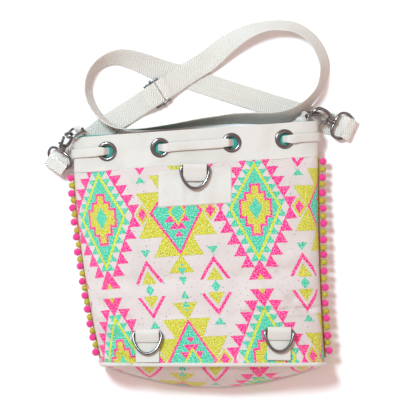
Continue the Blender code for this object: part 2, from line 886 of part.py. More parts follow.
def makeSideTab(side, wireAxis):
    """A folded strip from inside the mouth, bending and turning to the ring's bar and round it."""
    root, bar, catch, eye = sidePlaces(side)
    across, leg = (np.array(sideSets[side][k]) for k in ("across", "leg"))
    wireAxis = wireAxis if np.dot(wireAxis, across) > 0 else -wireAxis
    leg = squared(leg, wireAxis)
    reach = sideRingWire / 2 + looseGap + tabThickness / 2
    end = bar - leg * 2.0
    start = np.array((0.0, 1.0, 0.0))
    bend = np.linalg.norm(end - root)
    near = (tabThickness + looseGap) / 2
    upper, lower = [], []
    for t in np.linspace(0, 1, 6):
        spot = (
            (2 * t**3 - 3 * t**2 + 1) * root
            + (t**3 - 2 * t**2 + t) * bend * start
            + (3 * t**2 - 2 * t**3) * end
            + (t**3 - t**2) * bend * leg
        )
        width = unit(mixed(unit(across), wireAxis, t**2.8))
        tangent = squared(mixed(start, leg, t), width)
        lift = np.cross(width, tangent)
        part = mixed(near, reach, t**2)
        upper.append((spot + lift * part, width))
        lower.append((spot - lift * part, width))
    lift = np.cross(wireAxis, leg)
    bow = [(bar + reach * (leg * math.cos(t) + lift * math.sin(t)), wireAxis) for t in angles(-80, 80, 6)]
    rows = lower + bow + upper[::-1]
    points = np.array([row[0] for row in rows])
    widths = np.array([row[1] for row in rows]) * sideTabWidth / 2
    sheet(f"{side}_side_tab", np.stack((points + widths, points - widths), 1), tabThickness, canvas, offset=0.0)


# Slider: its centre from the middle of the mouth's edge and the table, and the strap's direction there towards
# the left hook
sliderPlace = (-44.6, 41.7, 5.7)
sliderHeading = (-0.84, -0.543, 0.0)


def mouthMiddle():
    """The middle of the mouth's edge, on the table."""
    return (mouthCorner("left") + mouthCorner("right")) / 2 * (1, 1, 0)


def makeSlider():
    """Three-bar slider: a plate with two slots, and the round ends of its middle bar."""
    half = sliderBar / 2
    outerX = sliderSpacing + sliderBar * 0.6
    inner = webbingWidth / 2 + 0.6
    outerY = inner + sliderRail
    matrix = placed(mouthMiddle() + sliderPlace, sliderHeading, np.cross((0, 0, 1), sliderHeading))
    plate = boxMesh("strap_slider", (-outerX, -outerY, -half), (outerX, outerY, half))
    piece = added("strap_slider", plate, nickel)
    for side in (-1, 1):
        ends = sorted((side * half, side * (sliderSpacing - half)))
        slot = boxMesh("slot", (ends[0], -inner, -sliderBar), (ends[1], inner, sliderBar))
        combined(piece, cutter(f"slider_slot_{side}", slot), "DIFFERENCE")
        knob = rodMesh("knob", (0, side * (outerY - 1.2), 0), (0, side * (outerY + 1.6), 0), 1.5, 8)
        combined(piece, cutter(f"slider_knob_{side}", knob), "UNION")
    moved(piece, matrix)


# The strap beyond the slider: x and y from the middle of the mouth's edge, height of the lowest edge and lean of
# the width, in degrees. The lean turns from flat through upright to flat again, because the strap is thrown with
# one half twist.
strapRun = (
    (-27.4, 52.7, 3.8, 0),
    (-6.7, 66.5, 3.0, 0),
    (14.0, 79.7, 2.4, -8),
    (38.1, 99.8, 1.0, -30),
    (60.0, 112.5, 0.3, -50),
    (80.7, 118.8, 0.3, -61),
    (98.5, 119.9, 0.3, -61),
    (115.2, 117.1, 0.3, -61),
    (129.6, 108.4, 0.3, -62),
    (140.5, 95.8, 0.3, -62),
    (147.1, 79.7, 0.3, -62),
    (148.0, 65.9, 0.3, -66),
    (142.6, 47.5, 0.6, -72),
    (132.3, 33.7, 2.6, -70),
    (120.5, 23.3, 2.9, -62),
    (105.5, 15.9, 2.6, -58),
    (88.0, 13.1, 1.2, -59),
    (68.0, 13.1, 0.3, -61),
    (45.0, 12.9, 0.3, -64),
    (24.0, 10.7, 0.3, -68),
    (2.0, 8.1, 0.3, -72),
    (-22.0, 4.7, 0.4, -78),
    (-46.0, 1.9, 1.2, -84),
    (-69.0, -0.1, 3.6, -88),
    (-86.0, 0.9, 4.6, -92),
    (-99.0, 5.9, 4.6, -98),
    (-109.5, 14.3, 4.4, -104),
    (-118.0, 26.5, 1.6, -107),
    (-123.4, 40.6, 0.3, -108),
    (-123.2, 54.9, 0.3, -109),
    (-117.1, 68.8, 0.3, -113),
    (-104.4, 79.1, 0.3, -122),
    (-87.2, 83.3, 0.3, -137),
    (-66.5, 78.3, 0.2, -156),
    (-41.2, 68.8, 0.1, -178),
    (-14.7, 61.3, 0.1, -180),
    (14.0, 51.5, 0.1, -180),
    (70.3, 33.7, 0.1, -180),
    (119.8, 18.4, 0.1, -180),
    (144.0, 10.1, 0.1, -180),
)


def onSlider(along, height):
    """A strap point given along the slider's own direction, towards the left hook, and by height."""
    place = (mouthMiddle() + sliderPlace) * (1, 1, 0)
    return place + unit(sliderHeading) * along + np.array((0, 0, height))


def foldStations(side, heading, beyond, arrive, leave):
    """Stations of the webbing round an eye's bar: in over or under the bar, round, and out the other way."""
    foldAxis = sideFrames(side)[3]
    bar = sidePlaces(side)[3]
    out = squared(heading, foldAxis)
    up = np.cross(out, foldAxis)
    up = up if up[2] > 0 else -up
    reach = hookWire / 2 + looseGap + webbingThickness / 2
    turnBack = [
        bar - out * 5 + up * arrive * reach,
        bar + up * arrive * reach,
        bar + out * (beyond - reach * 0.7) + up * arrive * reach * 0.8,
        bar + out * beyond + up * arrive * reach * 0.35,
        bar + out * beyond - up * arrive * reach * 0.35,
        bar + out * (beyond - reach * 0.7) - up * arrive * reach * 0.8,
        bar - up * arrive * reach,
        bar - out * 5 - up * arrive * reach,
    ]
    return turnBack, foldAxis


def makeStrap():
    """One length of webbing: sewn round the slider's bar, through the left hook, back through the slider, in
    two loops beyond the mouth, and sewn round the right hook's bar."""
    low = webbingThickness / 2 + 0.1
    high = low + webbingThickness + seatGap
    bar = sliderBar / 2 + seatGap + webbingThickness / 2
    mid = sliderPlace[2]
    over = mid + bar
    double = over + webbingThickness + seatGap
    under = mid - bar
    level = unit(np.cross((0, 0, 1), sliderHeading))
    stations = []

    def put(point, side):
        stations.append((np.asarray(point, float), np.asarray(side, float)))

    sewn = (
        (14.5, over - 0.9),
        (sliderSpacing, over),
        (6.4, over - 0.1),
        (4.4, over - 1.9),
        (2.6, under + 0.9),
        (0.6, under),
        (-1.4, under + 0.25),
        (-bar - 0.35, mid - 0.9),
        (-bar - 0.35, mid + 0.9),
        (-1.4, over - 0.25),
        (0.6, over),
        (4.0, mixed(over, double, 0.6)),
        (6.4, double),
        (sliderSpacing, double),
        (14.5, double - 0.8),
        (22.0, high + 2.2),
        (30.0, high + 0.4),
        (46.0, high),
        (70.0, high),
    )
    for along, height in sewn:
        put(onSlider(along, height), level)
    leftEye = sidePlaces("left")[3]
    leftHeading = unit(leftEye - onSlider(70.0, 0)) * (1, 1, 0)
    fold, foldAxis = foldStations("left", leftHeading, 10.0, 1, -1)
    toward = -foldAxis if np.dot(foldAxis, level) < 0 else foldAxis
    nearHook = mixed(onSlider(70.0, high), leftEye, 0.62) * (1, 1, 0)
    put(nearHook + np.array((0, 0, high + 2.2)), unit(level + toward * 0.5))
    for point in fold:
        put(point, toward)
    put(nearHook + np.array((0, 0, low + 1.2)), unit(level + toward * 0.5))
    for along, height in (
        (70.0, low),
        (46.0, low),
        (30.0, low),
        (14.0, low),
        (6.0, low),
        (0.0, low),
        (-3.4, low + 0.2),
        (-5.0, low + 1.8),
        (-5.1, mid - 0.6),
        (-5.3, over - 0.9),
        (-6.6, over),
        (-sliderSpacing, over + 0.1),
        (-13.0, over - 0.5),
    ):
        put(onSlider(along, height), level)
    count = len(stations)
    run = np.array([station[:2] for station in strapRun]) + mouthMiddle()[:2]
    heading = np.gradient(run, axis=0)
    previous = None
    for (x, y), (lowest, lean), direction in zip(run, [station[2:] for station in strapRun], heading):
        tangent = unit((*direction, 0.0))
        left = np.cross((0, 0, 1), tangent)
        turn = math.radians(lean)
        side = math.cos(turn) * left + math.sin(turn) * np.array((0, 0, 1.0))
        height = lowest + abs(math.sin(turn)) * webbingWidth / 2 + abs(math.cos(turn)) * webbingThickness / 2
        put((x, y, height), side)
        previous = side
    rightEye = sidePlaces("right")[3]
    rightHeading = unit(rightEye - np.array((*run[-1], 0))) * (1, 1, 0)
    fold, foldAxis = foldStations("right", rightHeading, 6.5, -1, 1)
    toward = foldAxis if np.dot(foldAxis, previous) > 0 else -foldAxis
    for point in fold:
        put(point, toward)
    heading = unit(rightHeading)
    put(rightEye * (1, 1, 0) - heading * 12 + np.array((0, 0, high + 1.8)), toward)
    put(rightEye * (1, 1, 0) - heading * 18 + np.array((0, 0, high + 1.0)), toward)
    for index in range(1, len(stations)):
        before, after = stations[index - 1][1], stations[index][1]
        if index < count and np.dot(before, after) < 0:
            stations[index] = (stations[index][0], -after)
    points = np.array([station[0] for station in stations])
    sides = np.array([station[1] for station in stations])
    if np.dot(sides[count - 1], sides[count]) < 0:
        sides[:count] = -sides[:count]
    strip("shoulder_strap", points, sides, webbingWidth, webbingThickness, cotton)


def centreOnTable():
    """Put the origin at the middle of the whole lying bag, on the table."""
    graph = bpy.context.evaluated_depsgraph_get()
    corners = []
    for piece in collection.objects:
        if piece.type == "MESH":
            shape = piece.evaluated_get(graph)
            mesh = shape.to_mesh()
            points = np.empty(len(mesh.vertices) * 3)
            mesh.vertices.foreach_get("co", points)
            points = points.reshape(-1, 3) @ np.array(shape.matrix_world.to_3x3()).T
            points += np.array(shape.matrix_world.translation)
            corners += [points.min(0), points.max(0)]
            shape.to_mesh_clear()
    low, high = np.min(corners, 0), np.max(corners, 0)
    bagRoot.location = (-(low[0] + high[0]) / 2, -(low[1] + high[1]) / 2, -low[2])


clearScene()
bagRoot = bpy.data.objects.new("bag_root", None)
collection.objects.link(bagRoot)
bandPiece, liningPiece = makePanels()
makeEyelets(bandPiece, liningPiece)
makeDrawstring()
makeBase()
makePatch()
makeBackRings()
makeTrims()
makeSides()
makeSlider()
makeStrap()
centreOnTable()
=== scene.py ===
import math

import bpy
import numpy as np
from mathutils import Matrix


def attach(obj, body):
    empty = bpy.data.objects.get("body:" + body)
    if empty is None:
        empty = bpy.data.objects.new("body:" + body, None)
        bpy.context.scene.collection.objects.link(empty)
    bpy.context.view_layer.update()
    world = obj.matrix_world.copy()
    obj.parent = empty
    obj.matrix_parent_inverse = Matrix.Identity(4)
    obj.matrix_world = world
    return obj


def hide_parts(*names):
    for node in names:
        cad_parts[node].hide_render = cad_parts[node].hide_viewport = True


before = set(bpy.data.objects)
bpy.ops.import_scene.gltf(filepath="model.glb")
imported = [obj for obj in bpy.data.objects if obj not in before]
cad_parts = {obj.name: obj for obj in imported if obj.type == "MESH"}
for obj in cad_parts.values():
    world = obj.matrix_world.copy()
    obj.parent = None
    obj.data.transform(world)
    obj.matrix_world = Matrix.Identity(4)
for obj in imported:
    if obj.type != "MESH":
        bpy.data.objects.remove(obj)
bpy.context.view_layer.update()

# Lengths are in millimetres in the bag's own layout, where 1.15 mm is one pixel of the picture's frame. The root
# place moves the layout to the frame's origin, and metres start at toWorld.
rootPlace = np.array((8.2116, -4.4996, -0.0554))


def toWorld(points):
    # layout millimetres moved by the root place, in metres
    return (np.asarray(points, float) + rootPlace) * 0.001


def mixed(start, end, share):
    # start + (end - start) * share
    return start + (end - start) * share


def unit(vectors):
    # each vector divided by its own length
    vectors = np.asarray(vectors, float)
    return vectors / np.linalg.norm(vectors, axis=-1, keepdims=True)


def squared(vectors, axes):
    # each vector less its part along the axis, at length 1
    vectors = np.asarray(vectors, float)
    return unit(vectors - (vectors * axes).sum(-1, keepdims=True) * axes)


def softNoise(x, y, cell, seed):
    # random heights from -1 to 1 at the corners of square cells, eased between them with 3t^2 - 2t^3
    heights = np.random.default_rng(seed).uniform(-1, 1, (97, 97))
    u, v = np.asarray(x) / cell + 40.5, np.asarray(y) / cell + 40.5
    i, j = np.floor(u).astype(int), np.floor(v).astype(int)
    s, t = u - i, v - j
    s, t = s * s * (3 - 2 * s), t * t * (3 - 2 * t)
    i, j = i % 96, j % 96
    near = mixed(heights[i, j], heights[i + 1, j], s)
    far = mixed(heights[i, j + 1], heights[i + 1, j + 1], s)
    return mixed(near, far, t)


# Mesh making


def gridFaces(rows, columns, wrapRows=False, wrapColumns=False):
    # the four corner numbers of each quad of a grid
    r = np.arange(rows if wrapRows else rows - 1)[:, None]
    c = np.arange(columns if wrapColumns else columns - 1)[None, :]
    down, across = (r + 1) % rows, (c + 1) % columns
    quads = (r * columns + c, down * columns + c, down * columns + across, r * columns + across)
    return np.stack(np.broadcast_arrays(*quads), -1).reshape(-1, 4)


def linkedObject(name, data):
    # an object of this data in the scene's own collection
    made = bpy.data.objects.new(name, data)
    bpy.context.scene.collection.objects.link(made)
    return made


def meshPiece(name, points, faces, materials, uvs=None, slots=None):
    # an object of points in layout millimetres and quads, with a UV and a material number for each face
    mesh = bpy.data.meshes.new(name)
    mesh.from_pydata(toWorld(points).tolist(), [], np.asarray(faces).tolist())
    for material in materials:
        mesh.materials.append(material)
    if uvs is not None:
        layer = mesh.uv_layers.new(name="cloth")
        corners = np.empty(len(mesh.loops), int)
        mesh.loops.foreach_get("vertex_index", corners)
        layer.uv.foreach_set("vector", np.asarray(uvs, float)[corners].ravel())
    if slots is not None:
        mesh.polygons.foreach_set("material_index", np.asarray(slots, int))
    mesh.shade_smooth()
    return linkedObject(name, mesh)


def gridPiece(name, grid, material, uvs=None, faces=None):
    # a piece of a grid of points, with all of its quads unless some are given
    faces = gridFaces(*grid.shape[:2]) if faces is None else faces
    uvs = None if uvs is None else uvs.reshape(-1, 2)
    return meshPiece(name, grid.reshape(-1, 3), faces, [material], uvs)


def joined(parts):
    # several (points, faces) sets as one, with the face numbers shifted past the points before them
    points, faces, start = [], [], 0
    for partPoints, partFaces in parts:
        points.append(np.asarray(partPoints, float).reshape(-1, 3))
        faces.append(np.asarray(partFaces) + start)
        start += len(points[-1])
    return np.vstack(points), np.vstack(faces)


def thicken(piece, thickness):
    # a shell of even thickness, grown inwards from the outer face
    solid = piece.modifiers.new("thickness", "SOLIDIFY")
    solid.thickness = thickness * 0.001
    solid.offset = -1.0
    solid.use_even_offset = True


def dressed(piece, body, nodes):
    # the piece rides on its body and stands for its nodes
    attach(piece, body)
    if nodes:
        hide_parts(*nodes)
    return piece


def smoothed(points, steps):
    # Catmull-Rom: half of 2b + (c-a)t + (2a-5b+4c-d)t^2 + (3b-a-3c+d)t^3 between b and c
    points = np.asarray(points, float)
    framed = np.vstack((2 * points[0] - points[1], points, 2 * points[-1] - points[-2]))
    a, b, c, d = framed[:-3, None], framed[1:-2, None], framed[2:-1, None], framed[3:, None]
    t = (np.arange(steps) / steps)[None, :, None]
    curve = 0.5 * (2 * b + (c - a) * t + (2 * a - 5 * b + 4 * c - d) * t**2 + (3 * b - a - 3 * c + d) * t**3)
    return np.vstack((curve.reshape(-1, points.shape[1]), points[-1:]))


def arcLengths(points):
    # the length of the line up to each point
    return np.concatenate(([0.0], np.cumsum(np.linalg.norm(np.diff(points, axis=0), axis=1))))


def spaced(rows, pitch):
    # rows of numbers at even spacing along the line that their first three columns describe
    lengths = arcLengths(rows[:, :3])
    places = np.linspace(0, lengths[-1], max(2, int(round(lengths[-1] / pitch)) + 1))
    return np.stack([np.interp(places, lengths, rows[:, k]) for k in range(rows.shape[1])], 1)


def evenLoop(loop, count):
    # the points of a closed line at even spacing
    closed = np.vstack((loop, loop[:1]))
    lengths = arcLengths(closed)
    places = np.linspace(0, lengths[-1], count, endpoint=False)
    return np.stack([np.interp(places, lengths, closed[:, k]) for k in range(3)], 1)


def section(width, thickness, count, edge=0.35, crown=0.5):
    # a flat rounded section: width/2 * cos^edge across and thickness/2 * sin^crown up
    turn = np.linspace(0, 2 * np.pi, count, endpoint=False)
    across = np.sign(np.cos(turn)) * np.abs(np.cos(turn)) ** edge * width / 2
    rise = np.sign(np.sin(turn)) * np.abs(np.sin(turn)) ** crown * thickness / 2
    return np.stack((across, rise), 1)


def ribbon(points, sides, shape, widths=None):
    # a section carried along a line: point + side * across + normal * rise, with ends drawn in to close them
    tangents = unit(np.gradient(points, axis=0))
    sides = squared(sides, tangents)
    ups = np.cross(tangents, sides)
    widths = np.ones(len(points)) if widths is None else widths
    across = shape[None, :, 0, None] * widths[:, None, None]
    grid = points[:, None] + sides[:, None] * across + ups[:, None] * shape[None, :, 1, None]
    first = points[0] + (grid[0] - points[0]) * 0.02
    last = points[-1] + (grid[-1] - points[-1]) * 0.02
    grid = np.concatenate((first[None], grid, last[None]))
    return grid.reshape(-1, 3), gridFaces(len(grid), len(shape), wrapColumns=True)


def tube(points, radii, up, closed=False, count=16):
    # a round wire: rings of radius r square to the line, turned from a fixed up direction
    points = np.asarray(points, float)
    tangents = unit(np.roll(points, -1, 0) - np.roll(points, 1, 0)) if closed else unit(np.gradient(points, axis=0))
    ups = squared(np.broadcast_to(up, points.shape), tangents)
    sides = np.cross(tangents, ups)
    turn = np.linspace(0, 2 * np.pi, count, endpoint=False)[None, :, None]
    radii = np.broadcast_to(radii, len(points))[:, None, None]
    grid = points[:, None] + (sides[:, None] * np.cos(turn) + ups[:, None] * np.sin(turn)) * radii
    if not closed:
        grid = np.concatenate((points[:1, None] + (grid[:1] - points[:1, None]) * 0.02, grid))
        grid = np.concatenate((grid, points[-1:, None] + (grid[-1:] - points[-1:, None]) * 0.02))
    return grid.reshape(-1, 3), gridFaces(len(grid), count, wrapRows=closed, wrapColumns=True)


def turned(profile, count, closed=True):
    # a profile of (radius, height) rows turned about local Z
    profile = np.asarray(profile, float)
    turn = np.linspace(0, 2 * np.pi, count, endpoint=False)[None, :]
    radius, height = profile[:, :1], profile[:, 1:2]
    grid = np.stack((radius * np.cos(turn), radius * np.sin(turn), height + 0 * turn), -1)
    return grid.reshape(-1, 3), gridFaces(len(profile), count, wrapRows=closed, wrapColumns=True)


def placed(origin, xAxis, yAxis):
    # an origin and three square axes, the third the cross product of the first two
    xAxis = unit(xAxis)
    yAxis = squared(yAxis, xAxis)
    return np.asarray(origin, float), np.stack((xAxis, yAxis, np.cross(xAxis, yAxis)))


def inFrame(placing, points):
    # origin + a * first axis + b * second axis + c * third axis
    origin, axes = placing
    return origin + np.asarray(points, float) @ axes


def stitchRun(points, normals, pitch, length, radius):
    # thread stitches at even spacing along a line: short spindles of six sides and five rings
    rows = spaced(np.hstack((points, normals)), pitch)
    centres, ups = rows[:, :3], unit(rows[:, 3:])
    tangents = unit(np.gradient(centres, axis=0))
    ups = squared(ups, tangents)
    sides = np.cross(tangents, ups)
    shares = np.array((-0.5, -0.38, 0.0, 0.38, 0.5))[None, :, None, None] * length
    swell = np.array((0.15, 0.75, 1.0, 0.75, 0.15))[None, :, None, None] * radius
    turn = np.linspace(0, 2 * np.pi, 6, endpoint=False)[None, None, :, None]
    ring = (sides[:, None, None] * np.cos(turn) + ups[:, None, None] * np.sin(turn)) * swell
    grid = centres[:, None, None] + tangents[:, None, None] * shares + ring
    faces = gridFaces(5, 6, wrapColumns=True)
    starts = np.arange(len(grid))[:, None, None] * 30
    return grid.reshape(-1, 3), (faces[None] + starts).reshape(-1, 4)


def sewn(name, runs, slotName):
    # rows of stitches as one piece of sewing thread
    points, faces = joined(runs)
    return dressed(meshPiece(name, points, faces, [threadMaterial]), "bag", [])


# Camera: straight above the middle of the layout, far enough for an even scale


view = {"height": 6.0, "span": 0.4784, "level": 0.02, "sensor": 36.0}


def makeCamera():
    # lens = sensor * distance / span, so that the frame's 416 pixels cover the span at the level given
    camera = bpy.data.cameras.new("camera")
    camera.sensor_width = view["sensor"]
    camera.lens = view["sensor"] * (view["height"] - view["level"]) / view["span"]
    camera.clip_end = 30.0
    holder = linkedObject("camera", camera)
    place = toWorld((0, 0, 0))
    holder.location = (place[0], place[1], view["height"])
    bpy.context.scene.camera = holder


makeCamera()


# Materials


def linear(red, green, blue):
    # a screen colour of 0 to 255 as linear light: ((c + 0.055) / 1.055)^2.4
    share = np.array((red, green, blue)) / 255
    return tuple(np.where(share <= 0.04045, share / 12.92, ((share + 0.055) / 1.055) ** 2.4)) + (1.0,)


palette = {
    "canvas": linear(213, 210, 205),
    # canvasShade is the canvas's darker random tone and also the painted shade in its weave's hollows
    "canvasShade": linear(194, 188, 179),
    "ground": linear(214, 204, 201),
    "pink": linear(252, 28, 140),
    "teal": linear(62, 203, 166),
    "yellow": linear(206, 201, 28),
    "line": linear(208, 216, 0),
    # the lining's teal, part its own colour and part painted shade: made darker for the inside of the bag
    "lining": linear(52, 150, 138),
    "webbing": linear(253, 250, 244),
    # webbingShade is painted shade for the webbing's rib grooves and also its patchy random tone
    "webbingShade": linear(228, 223, 213),
    "pompomPink": linear(255, 62, 158),
    "pompomMustard": linear(206, 190, 45),
    "tape": linear(158, 154, 50),
    "thread": linear(240, 237, 230),
    "nickel": linear(132, 129, 130),
    "speck": linear(70, 62, 52),
}


def linked(tree, value, socket):
    # a socket is linked, and anything else is written as the input's own value
    if isinstance(value, bpy.types.NodeSocket):
        tree.links.new(value, socket)
    else:
        socket.default_value = value


def calc(tree, operation, *values):
    # one Math node
    made = tree.nodes.new("ShaderNodeMath")
    made.operation = operation
    for value, socket in zip(values, made.inputs):
        linked(tree, value, socket)
    return made.outputs[0]


def blended(tree, factor, first, second):
    # first * (1 - factor) + second * factor, of colours
    made = tree.nodes.new("ShaderNodeMix")
    made.data_type = "RGBA"
    linked(tree, factor, made.inputs[0])
    linked(tree, first, made.inputs[6])
    linked(tree, second, made.inputs[7])
    return made.outputs[2]


def noiseOf(tree, vector, scale, detail=2.0, output="Fac"):
    # a Noise Texture on the vector given
    made = tree.nodes.new("ShaderNodeTexNoise")
    made.inputs["Scale"].default_value = scale
    made.inputs["Detail"].default_value = detail
    tree.links.new(vector, made.inputs["Vector"])
    return made.outputs[output]


def ranged(tree, value, low, high, toLow, toHigh):
    # a value carried from one range to another and held inside it
    made = tree.nodes.new("ShaderNodeMapRange")
    for number, setting in enumerate((value, low, high, toLow, toHigh)):
        linked(tree, setting, made.inputs[number])
    return made.outputs[0]


def coordinates(tree, kind):
    # an output of Texture Coordinate
    return tree.nodes.new("ShaderNodeTexCoord").outputs[kind]


def newMaterial(name, roughness=0.85, metallic=0.0, sheen=0.0):
    # a Principled material with its constant values on its own sockets
    made = bpy.data.materials.new(name)
    made.use_nodes = True
    shader = made.node_tree.nodes["Principled BSDF"]
    shader.inputs["Roughness"].default_value = roughness
    shader.inputs["Metallic"].default_value = metallic
    shader.inputs["Sheen Weight"].default_value = sheen
    shader.inputs["Sheen Roughness"].default_value = 0.5
    return made, made.node_tree, shader


def bumped(tree, shader, height, distance, strength=1.0):
    # a Bump node of that depth in metres into the shader's normal
    made = tree.nodes.new("ShaderNodeBump")
    made.inputs["Strength"].default_value = strength
    made.inputs["Distance"].default_value = distance
    tree.links.new(height, made.inputs["Height"])
    tree.links.new(made.outputs["Normal"], shader.inputs["Normal"])


def weaveGroup():
    # plain weave of threads at a pitch: |sin| of both directions, alternately over and under
    tree = bpy.data.node_groups.new("plainWeave", "ShaderNodeTree")
    tree.interface.new_socket("Place", in_out="INPUT", socket_type="NodeSocketVector")
    tree.interface.new_socket("Pitch", in_out="INPUT", socket_type="NodeSocketFloat")
    tree.interface.new_socket("Height", in_out="OUTPUT", socket_type="NodeSocketFloat")
    entry, leave = tree.nodes.new("NodeGroupInput"), tree.nodes.new("NodeGroupOutput")
    split = tree.nodes.new("ShaderNodeSeparateXYZ")
    tree.links.new(entry.outputs["Place"], split.inputs[0])
    turns = [
        calc(tree, "MULTIPLY", calc(tree, "DIVIDE", split.outputs[k], entry.outputs["Pitch"]), math.pi)
        for k in range(2)
    ]
    waves = [calc(tree, "SINE", turn) for turn in turns]
    over = calc(tree, "MULTIPLY", waves[0], waves[1])
    tree.links.new(ranged(tree, over, -1.0, 1.0, 0.0, 1.0), leave.inputs["Height"])
    return tree


plainWeave = weaveGroup()


def woven(tree, place, pitch):
    # the plain weave's height on the coordinates given
    made = tree.nodes.new("ShaderNodeGroup")
    made.node_tree = plainWeave
    tree.links.new(place, made.inputs["Place"])
    made.inputs["Pitch"].default_value = pitch
    return made.outputs["Height"]


def clothMaterial(name, colour, shade, pitch=0.0008, flecks=True, sheen=0.15):
    # cotton: two tones by soft noise, small dark flecks, painted shade towards the shade tone in the weave's hollows,
    # and the weave's bump with a finer noise
    made, tree, shader = newMaterial(name, 0.9, sheen=sheen)
    place = coordinates(tree, "Object")
    tone = ranged(tree, noiseOf(tree, place, 28.0, 4.0), 0.42, 0.72, 0.0, 0.55)
    mixedColour = blended(tree, tone, colour, shade)
    if flecks:
        fleck = ranged(tree, noiseOf(tree, place, 420.0, 1.0), 0.765, 0.79, 0.0, 0.5)
        mixedColour = blended(tree, fleck, mixedColour, palette["speck"])
    weave = woven(tree, place, pitch)
    # painted shade in the weave's hollows: up to 12 percent of the shade tone where the weave is low
    shaded = ranged(tree, weave, 0.0, 1.0, 0.12, 0.0)
    mixedColour = blended(tree, shaded, mixedColour, shade)
    tree.links.new(mixedColour, shader.inputs["Base Color"])
    height = calc(tree, "ADD", weave, calc(tree, "MULTIPLY", noiseOf(tree, place, 900.0), 0.8))
    bumped(tree, shader, height, 0.00012, 0.7)
    return made


def metalMaterial(name):
    # polished dark nickel: fine scratches and smudges in the roughness, a darker tone where it is dull
    made, tree, shader = newMaterial(name, 0.2, metallic=1.0)
    place = coordinates(tree, "Object")
    smudge = noiseOf(tree, place, 130.0, 3.0)
    tree.links.new(ranged(tree, smudge, 0.3, 0.8, 0.12, 0.34), shader.inputs["Roughness"])
    colour = blended(tree, ranged(tree, smudge, 0.35, 0.75, 0.0, 0.45), palette["nickel"], linear(78, 74, 76))
    tree.links.new(colour, shader.inputs["Base Color"])
    bumped(tree, shader, noiseOf(tree, place, 700.0), 0.00003, 0.35)
    return made


def webbingMaterial():
    # cotton webbing: slanted ribs that meet in a herringbone, from UV across and along in millimetres, with painted
    # shade in the ribs' grooves and a patchy random tone
    made, tree, shader = newMaterial("cottonWebbing", 0.9, sheen=0.15)
    split = tree.nodes.new("ShaderNodeSeparateXYZ")
    place = coordinates(tree, "UV")
    tree.links.new(place, split.inputs[0])
    zigzag = calc(tree, "PINGPONG", split.outputs[0], 6.25)
    slant = calc(tree, "ADD", split.outputs[1], calc(tree, "MULTIPLY", zigzag, 0.55))
    rib = calc(tree, "SINE", calc(tree, "MULTIPLY", slant, 2 * math.pi / 2.4))
    warp = calc(tree, "SINE", calc(tree, "MULTIPLY", split.outputs[0], 2 * math.pi / 1.55))
    height = calc(tree, "ADD", rib, calc(tree, "MULTIPLY", warp, 0.45))
    # painted shade: the colour goes to webbingShade where the ribs are low
    tone = ranged(tree, height, -1.2, 0.5, 1.0, 0.0)
    patchy = ranged(tree, noiseOf(tree, place, 0.06, 3.0), 0.35, 0.75, 0.0, 0.35)
    factor = calc(tree, "MAXIMUM", tone, patchy)
    tree.links.new(blended(tree, factor, palette["webbing"], palette["webbingShade"]), shader.inputs["Base Color"])
    bumped(tree, shader, height, 0.0005, 1.0)
    return made


